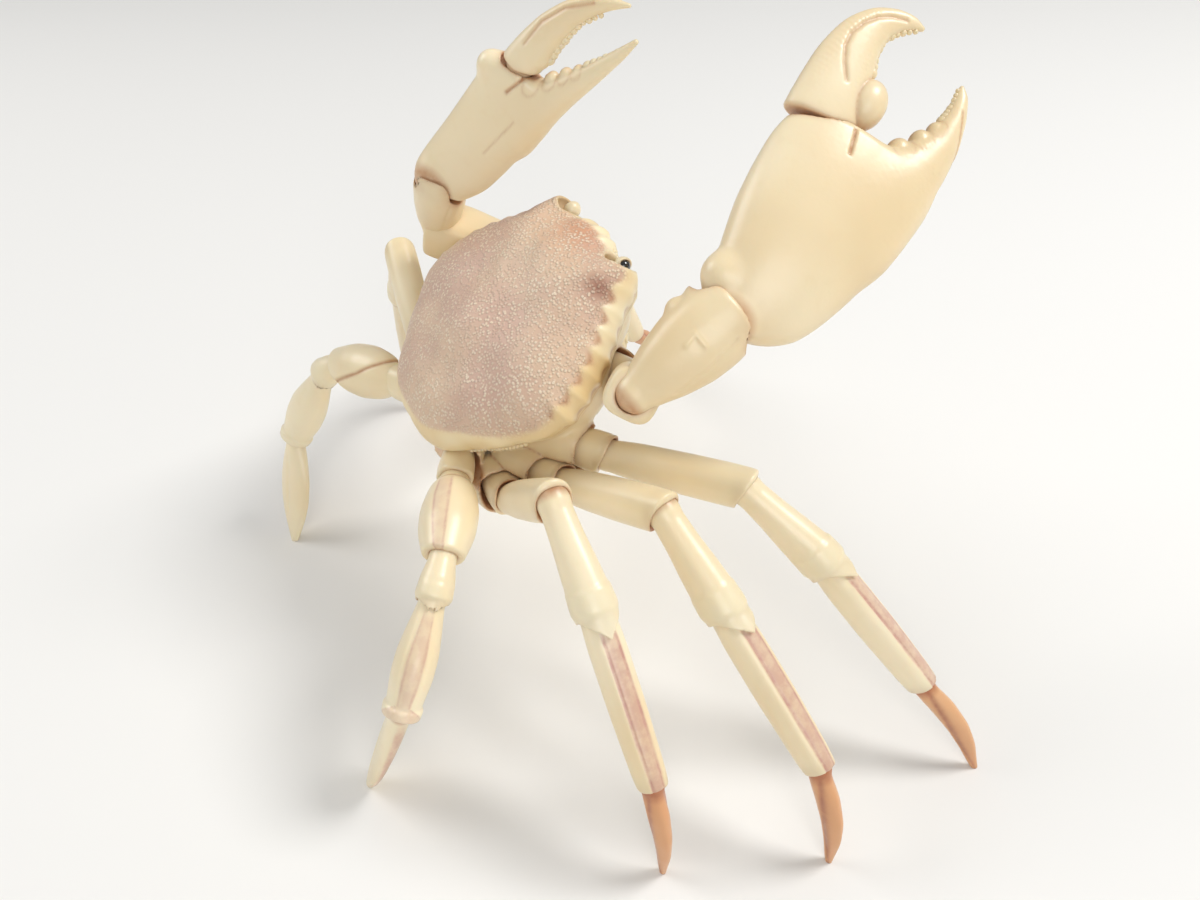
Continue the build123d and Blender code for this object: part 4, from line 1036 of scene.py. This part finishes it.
def shell_field(x, y, z):
    share, edge = edge_share(x, y)
    rise = np.clip((z - EDGE_DROP) / (SHELL_RISE - EDGE_DROP), 0, 2)
    reach = (share ** 3.2 + rise ** 1.9) ** (1 / 2.6) - 1
    body = reach * (7.5 + (edge * 0.75 - 7.5) * np.clip(1 - rise * 2, 0, 1))
    for spot_x, spot_y, size, depth in DIMPLES:
        body = body + depth * np.exp(-((x - spot_x) ** 2 + (y - spot_y) ** 2) / size ** 2)
    under = (share - 1 + 0.10 * np.clip((EDGE_DROP - z) / 4, 0, 2)) * edge
    body = keep(keep(body, under, 0.5), FLANK_FLOOR - z, 0.3)
    body = body + groove(line_on_flank(x, y, z), 0.14, 0.20) * (z < LINES_TOP)
    bowl = orbit_bowl(x, y, z)
    return carve(body - 0.25 * near(np.abs(bowl - 0.35), 0.45), bowl, 0.2)


def shell_paint(x, y, z):
    """Stain, a painted shadow in the notches between the edge teeth, bare cream, a darker front tint and a patch
    beside each eye.
    """
    share, _ = edge_share(x, y)
    waves = sum(tooth(x, y, spot_x, spot_y, 0.045) for spot_x, spot_y, _ in SIDE_TEETH + FRONT_TEETH)
    limit = 0.975 - 0.035 * waves - 0.075 * np.clip((-y - 10) / 8, 0, 1)
    socket = orbit_bowl(x, y, z)
    bare = most(below(limit, share, 0.006), z < EDGE_DROP - 0.2, beside(socket - 0.1, 0.35))
    front = np.exp(-((x / 5.5) ** 2 + ((y - 20.5) / 5.0) ** 2))
    patch = np.exp(-(((np.abs(x) - 12.0) / 1.9) ** 2 + ((y - 16.0) / 1.9) ** 2))
    # Painted shadow: a brown line along the grained top's edge, strongest in the notches between the side teeth,
    # where shade falls.
    between = near(share - limit + 0.004, 0.012) * np.clip(1 - waves, 0, 1) * (y > -2) * (y < 19)
    lines = near(line_on_flank(x, y, z), 0.16) * (z < LINES_TOP)
    deep = 0.5 * np.clip(-socket / 0.6, 0, 1) + 0.35 * near(socket, 0.25)
    under_rear = near(z + 4.45, 0.4) * np.clip((-y - 7) / 2, 0, 1)
    # On the shell the stain value also carries this painted shadow between the teeth.
    return {"stain": most(0.75 * between, 0.55 * lines, deep, 0.8 * under_rear), "bare": bare,
            "tint": 0.8 * front, "patch": 0.85 * patch}


piece("carapace", shell, shell_field, (-24.6, -23, -5.6), (24.6, 24, 8), 0.30, shell_granules,
      shell_paint)
print("shell carved:", carved["carapace"], "faces")

# %% [markdown]
# The eyes: a short stalk with a flared collar that holds a glossy black bead. The bead is turned on
# a lathe on the real one, so it stays a lathe-turned ball here, with its equator on the collar.

# %% Carve the eyes
BEAD, EYE_STEP = 1.12, 0.12
for side, outward in zip(SIDES, (shell_x, -shell_x)):
    stalk_spot = hinges[f"{side}_eyestalk_hinge"][0]
    low, high = (np.array(corner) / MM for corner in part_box(f"{side}_eye_bead"))
    (to_bead,), (tall,) = chain([stalk_spot, (low + high) / 2])
    stalk = Seat(stalk_spot, to_bead, shell_z)
    bead_field = ball((tall, 0, 0), BEAD)
    stem = shaft([(-1.1, 0.9), (0.6, 1.15), (tall - 1.0, 1.0), (tall - 0.2, 1.32), (tall + 0.25, 1.3)],
                 2.0, 0.3, 0.14)

    def stalk_field(x, y, z):
        inward = sum(line * axis.dot(outward) for line, axis in zip((x - tall, y, z), stalk.axes))
        hood = keep(ball((tall, 0, 0), 1.5)(x, y, z), inward - 0.1, 0.15)
        return carve(join(stem(x, y, z), hood, 0.3), bead_field(x, y, z) - 0.03, 0.08)

    def stalk_paint(x, y, z):
        return {"stain": 0.8 * beside(np.abs(bead_field(x, y, z)), 0.18) + 0.5 * np.clip(-x, 0, 1)}

    piece(f"{side}_eyestalk", stalk, stalk_field, (-1.6, -1.8, -1.8), (tall + 1.8, 1.8, 1.8), EYE_STEP,
          limb_cream, stalk_paint)
    piece(f"{side}_eye_bead", stalk, bead_field, (tall - 1.5, -1.5, -1.5), (tall + 1.5, 1.5, 1.5),
          EYE_STEP, black_bead, lambda x, y, z: {})
print("eyes carved:", 2 * BEAD, "mm beads")

# %% [markdown]
# Under the shell sits the body block. Its sides swell out between the limbs, and each hip turns in a
# hollow of its own, cut here by the hip's shape at each angle of its swing. Grooves part its plates.

# %% Carve the body block
BLOCK_TOP = -5.12
belly_levels = soft_line([-16.0, -14.2, -11.5, -8.5, -5.0], [0.52, 0.60, 0.76, 0.86, 0.885], 0.12)
hip_spaces = [cleared(shell, hip, joint, shape, 0.14, 4) for hip, joint, shape in hip_shapes]
collar_bar = shaft([(-8.0, 3.0), (-4.0, 4.2, 4.2, 4.0), (0.0, 4.5, 4.4, 4.2), (2.2, 4.3, 4.2, 4.0),
                    (3.6, 3.8, 3.7, 3.6)], 2.7, 0.9)
collars = [shell.read_in(hip) for hip, _, _ in hip_shapes]


def each_collar(x, y, z):
    return [collar_bar(*read(x, y, z)) for read in collars]


def hip_hollows(x, y, z):
    return reduce(np.minimum, [space(x, y, z) for space in hip_spaces])


def belly_field(x, y, z):
    angle = front_angle(x, y)
    pinch = 1 - 0.16 * near(angle, 0.8)
    body = (np.hypot(x, y) / (edge_line(angle) * belly_levels(z) * pinch) - 1) * 14
    body = keep(body, -14.3 - z, 1.6)
    ring = reduce(lambda a, b: join(a, b, 0.25), each_collar(x, y, z))
    body = keep(join(body, ring, 0.5), z - BLOCK_TOP, 0.2)
    plates = groove(np.abs(y - 0.25 * np.abs(x)) % 6.2 - 3.1, 0.3, 0.22) * (z < -9)
    body = body + groove(x, 0.35, 0.30) * (z < -12) + plates
    return carve(body, hip_hollows(x, y, z), 0.25)


def belly_paint(x, y, z):
    first, second = np.sort(np.stack(each_collar(x, y, z)), axis=0)[:2]
    seam = 0.8 * beside(second - first, 0.22) * (np.abs(first) < 0.6)
    rim = 0.9 * beside(hip_hollows(x, y, z), 0.35)
    return {"stain": most(rim, 0.6 * beside(np.abs(z - BLOCK_TOP), 0.3), seam)}


piece("belly_plate", shell, belly_field, (-24, -23, -17.4), (24, 22, -4.6), 0.36, limb_cream,
      belly_paint)
print("body block carved:", carved["belly_plate"], "faces")

# %% [markdown]
# Under the body block hang a tail flap with carved rings and two mouth plates, each a thin leaf on a
# hidden pin. They are flat shafts, so the same tool makes them. The pins that the body holds stay as
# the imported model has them, and only get the cream finish.

# %% Carve the tail flap and the mouth plates
flap_spot, flap_axis, _ = hinges["tail_flap_hinge"]
flap = Seat(flap_spot, np.cross(shell_z, shell_x), flap_axis)
flap_bar = shaft([(-1.1, 1.1, 1.1, 2.2), (1.2, 0.8, 0.8, 3.9), (6.0, 0.8, 0.8, 3.4),
                  (11.5, 0.8, 0.8, 2.2), (14.9, 0.7, 0.7, 1.2)], 3.2, 0.4)
plate_bar = shaft([(-1.0, 0.95, 0.95, 1.9), (0.8, 0.8, 0.75, 3.9), (2.6, 0.95, 0.75, 4.4),
                   (4.6, 0.75, 0.75, 4.2), (5.2, 0.7, 0.7, 3.8)], 3.4, 0.35)


def flap_ring(x, z):
    return (x + 0.10 * np.abs(z)) % 2.4 - 1.2


def plate_line(x, z):
    return x - 2.0 - 0.05 * z


def flap_field(x, y, z):
    return flap_bar(x, y, z) + groove(flap_ring(x, z), 0.16, 0.16) * np.clip(x - 1, 0, 1)


def plate_field(x, y, z):
    lines = groove(plate_line(x, z), 0.18, 0.18)
    return plate_bar(x, y, z) + lines + groove(z - 2.4, 0.18, 0.14) * (x > 1)


piece("tail_flap", flap, flap_field, (-1.6, -1.6, -4.4), (15.6, 1.6, 4.4), 0.2, limb_cream,
      lambda x, y, z: {"stain": 0.5 * near(flap_ring(x, z), 0.22) * (x > 1)})
for side, inward in zip(SIDES, (-shell_x, shell_x)):
    spot, axis, _ = hinges[f"{side}_mouth_plate_hinge"]
    piece(f"{side}_mouth_plate", Seat(spot, inward, axis), plate_field, (-1.5, -1.5, -4.8),
          (5.8, 1.6, 4.8), 0.18, limb_cream,
          lambda x, y, z: {"stain": 0.5 * near(plate_line(x, z), 0.25)})

plain_nodes = [node for node, body in BODY_OF.items() if body == "body" and node not in carved]
for node in plain_nodes:
    frame["nodes"][node].data.materials.clear()
    frame["nodes"][node].data.materials.append(limb_cream)
print("flap and plates carved, and left as packed:", plain_nodes)

# %% [markdown]
# Rows of small beads and teeth. The real ones are filed one by one along an edge, each a little
# different. Here a node tree lays grains along a path: it spaces the points, sizes them from the first
# to the last with a small random change, and turns them into one plain mesh for the piece they sit on.

# %% A node tree that lays a row of grains
def grain_tree():
    tree = bpy.data.node_groups.new("grain_row", "GeometryNodeTree")
    face = tree.interface
    for way, label, kind in (("INPUT", "Path", "Geometry"), ("INPUT", "First size", "Float"),
                             ("INPUT", "Last size", "Float"), ("INPUT", "Unevenness", "Float"),
                             ("INPUT", "Count", "Int"), ("INPUT", "Seed", "Int"),
                             ("INPUT", "Finish", "Material"), ("OUTPUT", "Row", "Geometry")):
        face.new_socket(label, in_out=way, socket_type="NodeSocket" + kind)

    def add(kind, **values):
        made = tree.nodes.new(kind)
        for label, value in values.items():
            setattr(made, label, value)
        return made

    start, end = add("NodeGroupInput"), add("NodeGroupOutput")
    curve, spaced = add("GeometryNodeMeshToCurve"), add("GeometryNodeResampleCurve")
    along, size = add("GeometryNodeSplineParameter"), add("ShaderNodeMapRange")
    low, high, scaled = [add("ShaderNodeMath", operation=kind) for kind in
                         ("SUBTRACT", "ADD", "MULTIPLY")]
    chance, shape = add("FunctionNodeRandomValue", data_type="FLOAT"), add("ShaderNodeCombineXYZ")
    facing = add("GeometryNodeInputTangent")
    turned = add("FunctionNodeAlignRotationToVector", axis="Z")
    grain = add("GeometryNodeMeshIcoSphere")
    laid, real = add("GeometryNodeInstanceOnPoints"), add("GeometryNodeRealizeInstances")
    smooth, dressed = add("GeometryNodeSetShadeSmooth"), add("GeometryNodeSetMaterial")
    grain.inputs["Radius"].default_value, grain.inputs["Subdivisions"].default_value = 1.0, 3
    low.inputs[0].default_value = high.inputs[0].default_value = 1.0
    for a, out, b, socket in (
            (start, "Path", curve, "Mesh"), (curve, "Curve", spaced, "Curve"),
            (start, "Count", spaced, "Count"), (along, "Factor", size, "Value"),
            (start, "First size", size, "To Min"), (start, "Last size", size, "To Max"),
            (start, "Unevenness", low, 1), (start, "Unevenness", high, 1), (low, 0, chance, 2),
            (high, 0, chance, 3), (start, "Seed", chance, "Seed"), (size, "Result", scaled, 0),
            (chance, 1, scaled, 1), (scaled, 0, shape, "X"), (scaled, 0, shape, "Y"),
            (scaled, 0, shape, "Z"), (facing, 0, turned, "Vector"), (spaced, "Curve", laid, "Points"),
            (grain, "Mesh", laid, "Instance"), (turned, 0, laid, "Rotation"),
            (shape, 0, laid, "Scale"), (laid, "Instances", real, "Geometry"),
            (real, "Geometry", smooth, "Geometry"), (smooth, "Geometry", dressed, "Geometry"),
            (start, "Finish", dressed, "Material"), (dressed, "Geometry", end, "Row")):
        tree.links.new(a.outputs[out], b.inputs[socket])
    return tree


grain_row_tree = grain_tree()
UNEVENNESS = 0.12


def grain_row(name, seat, path, body, finish, count, first, last, seed):
    """Grains along a path given in a seat's millimetres, as one plain mesh on one body."""
    mesh = bpy.data.meshes.new(name + "_path")
    spots = seat.place(np.array(path, float))
    mesh.from_pydata(spots.tolist(), [(i, i + 1) for i in range(len(path) - 1)], [])
    line = into_scene(name + "_path", mesh)
    laying = line.modifiers.new("grains", "NODES")
    laying.node_group = grain_row_tree
    values = {"First size": first * MM, "Last size": last * MM, "Unevenness": UNEVENNESS,
              "Count": count, "Seed": seed, "Finish": finish}
    for socket in grain_row_tree.interface.items_tree:
        if socket.in_out == "INPUT" and socket.name in values:
            laying[socket.identifier] = values[socket.name]
    line.update_tag()
    now = bpy.context.evaluated_depsgraph_get()
    done = bpy.data.meshes.new_from_object(line.evaluated_get(now))
    bpy.data.objects.remove(line)
    made = into_scene(name, done)
    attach(made, body)
    carved[name] = len(done.polygons)


print("grain tree nodes:", len(grain_row_tree.nodes))

# %% [markdown]
# The rows: beads under the shell's rear rim, small teeth along its front edge, and teeth on both
# fingers of each claw, which shrink towards the tips. Each row rides the piece that it is filed on.

# %% Lay the rows
def rim_path(first, last, share, level, count=40):
    """A path inside the shell's edge, between two angles from the front."""
    angles = [math.radians(first + (last - first) * i / (count - 1)) for i in range(count)]
    radii = [float(edge_line(np.array(abs(angle)))) * share for angle in angles]
    return [(radius * math.sin(angle), radius * math.cos(angle), level)
            for radius, angle in zip(radii, angles)]


for side, sign, seed in zip(SIDES, (1, -1), (3, 4)):
    grain_row(f"rear_rim_beads_{side}", shell, rim_path(sign * 118, sign * 178, 0.922, -4.4), "body",
              limb_cream, 30, 0.42, 0.42, seed)
for side, sign in zip(SIDES, (1, -1)):
    front = [(sign * x, y, -0.9) for x, y in ((3.6, 21.2), (5.0, 20.7), (6.3, 20.4))]
    grain_row(f"{side}_front_teeth", shell, front, "body", limb_cream, 5, 0.55, 0.42, 5)
    for seat, label, part, teeth, count, seed in zip(
            claw_seats[side], ("thumb", "finger"), ("palm", "finger"), (THUMB_TEETH, FINGER_TEETH),
            (8, 12), (6, 7)):
        grain_row(f"{side}_{label}_teeth", seat, [(x, y, 0) for x, y in teeth[side]],
                  f"{side}_claw_{part}", claw_cream, count, 0.85, 0.38, seed)
print("rows laid:", sum(name.endswith("teeth") or "beads" in name for name in carved))

# %% [markdown]
# The studio: a plain pale floor that reaches far behind, three large soft lamps and a camera where
# the photographer stood, above the crab's right side, looking down at its back and claws.

# %% Floor, light and camera
paper = Finish("studio_paper")
paper.set(Base_Color=paper.mix(paper.noise(6.0, 2.0) * 0.02, tone(238, 236, 232), tone(226, 224, 220)),
          Roughness=0.9)
half_floor = 3.0
floor_mesh = bpy.data.meshes.new("studio_floor")
floor_mesh.from_pydata([(-half_floor, -half_floor, 0), (half_floor, -half_floor, 0),
                        (half_floor, half_floor, 0), (-half_floor, half_floor, 0)], [], [(0, 1, 2, 3)])
floor_mesh.materials.append(paper.material)
floor = into_scene("studio_floor", floor_mesh)


def lamp(name, spot, aim, size, power):
    light = bpy.data.lights.new(name, "AREA")
    light.shape, light.size, light.energy = "DISK", size, power
    made = into_scene(name, light)
    made.location = spot
    made.rotation_euler = (Vector(aim) - Vector(spot)).to_track_quat("-Z", "Y").to_euler()


middle = (0, 0, 0.05)
lamp("key_lamp", (-0.15, -0.55, 0.75), middle, 0.35, 5.0)
lamp("side_lamp", (-0.75, 0.15, 0.45), middle, 0.5, 2.2)
lamp("back_lamp", (0.45, 0.55, 0.6), middle, 0.5, 2.6)

world = bpy.data.worlds.new("studio_air")
world.use_nodes = True
world.node_tree.nodes["Background"].inputs["Color"].default_value = (0.86, 0.88, 0.90, 1)
world.node_tree.nodes["Background"].inputs["Strength"].default_value = 0.42
bpy.context.scene.world = world
bpy.context.scene.view_settings.view_transform = "Standard"

# The camera stands 161 mm from the shell and is slightly rolled, as the photographer held it.
view_side, view_lift, view_roll = math.radians(251.18), math.radians(37.49), math.radians(-3.07)
back = Vector((math.sin(view_side) * math.cos(view_lift), -math.cos(view_side) * math.cos(view_lift),
               math.sin(view_lift)))
level = (-back).cross(Vector((0, 0, 1))).normalized()
upright = level.cross(-back)
right = level * math.cos(view_roll) + upright * math.sin(view_roll)
up = upright * math.cos(view_roll) - level * math.sin(view_roll)
spot = Vector((0, 0, 54.89)) + back * 160.81 + right * 15.26 - up * 19.59
camera_data = bpy.data.cameras.new("camera")
camera_data.lens, camera_data.sensor_width, camera_data.clip_start = 30, 36, 0.01
camera = into_scene("camera", camera_data)
camera.matrix_world = Matrix.Translation(spot * MM) @ Matrix((right, up, back)).transposed().to_4x4()
bpy.context.scene.camera = camera
print("stage ready: camera at", [round(value) for value in spot], "mm")
